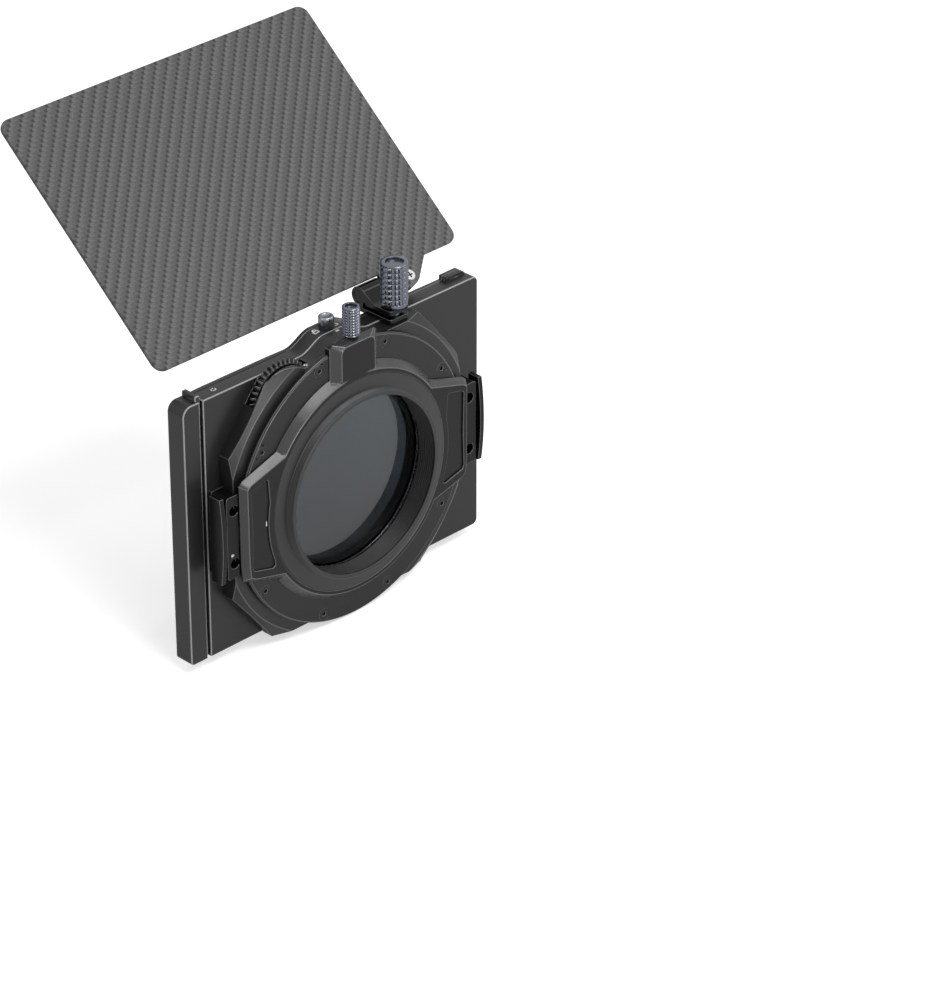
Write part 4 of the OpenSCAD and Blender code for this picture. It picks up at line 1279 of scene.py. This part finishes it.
@dataclass
class SunFlag(CadDress):
    """The tilting flag: bracket, hinge arm, carbon sheet, screws and the tall knob."""

    cuts: Cuts = (
        Cut("flag_bracket", "box", "bracket_black", Skin.BRACKET, 0.4, Skin.BRACKET_EDGE_HIGHLIGHT),
        Cut("flag_arm", "visor", "bracket_black", Skin.BRACKET, 0.2, Skin.BRACKET_EDGE_HIGHLIGHT),
        Cut("flag", "visor", "carbon_fibre", Skin.CARBON, 0.35, Skin.CARBON),
        Cut("flag_screws", "visor", "bright_screw", Skin.BRIGHT_SCREW, 0.12,
            Skin.BRIGHT_SCREW, FLAG_TOP, 1.4))
    paints: Paints = ((Skin.DARK_SCREW, "bracket_screws"),)

    def tall_knob(self) -> KnurledKnob:
        """Sizes the tall knob on its stud.

        Returns:
            The knob.
        """
        return KnurledKnob("flag_knob", "visor_knob", (-28.5, -10.0), radius=5.35,
                           foot_z=61.45, rows=7, foot=2.2, dish=3.75,
                           shank=((0, 0), (2.0, 0)))

    def build(self) -> None:
        """Dresses the pieces and turns the tall knob."""
        super().build()
        self.tall_knob().build()


@dataclass(frozen=True)
class Softbox:
    """One soft studio lamp."""

    name: str
    azimuth_deg: float
    elevation_deg: float
    distance: float
    width: float
    height: float
    watts: float


@dataclass
class Studio:
    """Plain pale floor, white surround, soft lamps and the camera."""

    centre: tuple[float, float, float] = (0.0, -0.03, 0.03)
    floor_size: float = 6.0
    floor_gap_mm: float = 0.5
    floor_colour: str = "#f2f2f2"
    floor_lift: float = 0.5
    fill: float = 0.42
    sensor_mm: float = 36.0
    focal_px: float = 4406.55
    frame_px: float = 927.0
    camera_at: tuple[float, float, float] = (0.99980, 1.05519, 0.83108)
    camera_turn_deg: tuple[float, float, float] = (60.0, 0.0, 135.0)
    lamps: tuple[Softbox, ...] = (
        Softbox("lamp_over", 182.0, 62.0, 1.5, 0.9, 0.8, 13.0),
        Softbox("lamp_right", 173.6, 12.0, 1.5, 0.6, 0.7, 8.0),
        Softbox("lamp_left", 80.0, 30.0, 1.8, 0.5, 1.2, 4.0),
        Softbox("lamp_far", 238.0, 40.0, 1.4, 0.5, 0.5, 2.6),
    )

    def surround(self) -> None:
        """Makes the world: white where it is seen, softer where it lights."""
        world = bpy.data.worlds.new("studio_surround")
        bpy.context.scene.world = world
        world.use_nodes = True
        tree = world.node_tree
        tree.nodes.clear()
        ray = add_node(tree, "ShaderNodeLightPath")
        seen = add_node(tree, "ShaderNodeMath", {
            0: ray.outputs["Is Camera Ray"], 1: ray.outputs["Is Glossy Ray"]},
            operation="MAXIMUM")
        seen = add_node(tree, "ShaderNodeMath", {
            0: seen.outputs[0], 1: ray.outputs["Is Transmission Ray"]}, operation="MAXIMUM")
        strength = add_node(tree, "ShaderNodeMapRange", {
            "Value": seen.outputs[0], "To Min": self.fill, "To Max": 1.0})
        light = add_node(tree, "ShaderNodeBackground", {
            "Color": (1.0, 1.0, 1.0, 1.0), "Strength": strength.outputs[0]})
        add_node(tree, "ShaderNodeOutputWorld", {"Surface": light.outputs[0]})

    def floor(self) -> None:
        """Lays the floor at the part's lowest point, white to the camera, with its shadow."""
        bm = bmesh.new()
        bmesh.ops.create_grid(bm, x_segments=8, y_segments=8, size=self.floor_size / 2)
        material, tree = new_material("pale studio floor")
        ray = add_node(tree, "ShaderNodeLightPath")
        matt = add_node(tree, "ShaderNodeBsdfDiffuse", {"Color": linear(self.floor_colour)})
        lift = add_node(tree, "ShaderNodeMath", {
            0: ray.outputs["Is Camera Ray"], 1: self.floor_lift}, operation="MULTIPLY")
        glow = add_node(tree, "ShaderNodeEmission", {"Strength": lift.outputs[0]})
        both = add_node(tree, "ShaderNodeAddShader", {0: matt.outputs[0], 1: glow.outputs[0]})
        finish_material(tree, both)
        mesh = mesh_of(bm, "studio_floor", outward=False)
        mesh.materials.append(material)
        floor = bpy.data.objects.new(mesh.name, mesh)
        floor.location = (0.0, 0.0, CAD_BOX[0][2] - self.floor_gap_mm * MM)
        bpy.context.scene.collection.objects.link(floor)

    def lamp(self, box: Softbox) -> None:
        """Hangs one soft lamp that faces the part.

        Args:
            box: its place, size and power.
        """
        data = bpy.data.lights.new(box.name, "AREA")
        data.shape = "RECTANGLE"
        data.size, data.size_y = box.width, box.height
        data.energy = box.watts
        lamp = bpy.data.objects.new(box.name, data)
        a, e = math.radians(box.azimuth_deg), math.radians(box.elevation_deg)
        away = Vector((math.sin(a) * math.cos(e), -math.cos(a) * math.cos(e), math.sin(e)))
        lamp.location = Vector(self.centre) + away * box.distance
        lamp.rotation_euler = away.to_track_quat("Z", "Y").to_euler()
        bpy.context.scene.collection.objects.link(lamp)

    def camera(self) -> None:
        """Sets the camera where the photograph was taken from."""
        data = bpy.data.cameras.new("main_camera")
        data.sensor_fit = "HORIZONTAL"
        data.sensor_width = self.sensor_mm
        data.lens = self.focal_px / self.frame_px * self.sensor_mm
        data.dof.use_dof = False
        camera = bpy.data.objects.new("main_camera", data)
        camera.location = self.camera_at
        camera.rotation_euler = [math.radians(turn) for turn in self.camera_turn_deg]
        bpy.context.scene.collection.objects.link(camera)
        bpy.context.scene.camera = camera

    def build(self) -> None:
        """Builds the studio."""
        bpy.context.scene.view_settings.view_transform = "Standard"
        self.surround()
        self.floor()
        for box in self.lamps:
            self.lamp(box)
        self.camera()


def main() -> None:
    """Builds the sub-assemblies in order."""
    logging.basicConfig(level=logging.INFO, format="%(message)s")
    Studio().build()
    for part in (FilterStage(), FilterTray(), LockKnob(), DensityModule(), Collar(), SunFlag()):
        LOG.info("%s", type(part).__name__)
        part.build()


if __name__ == "__main__":
    main()
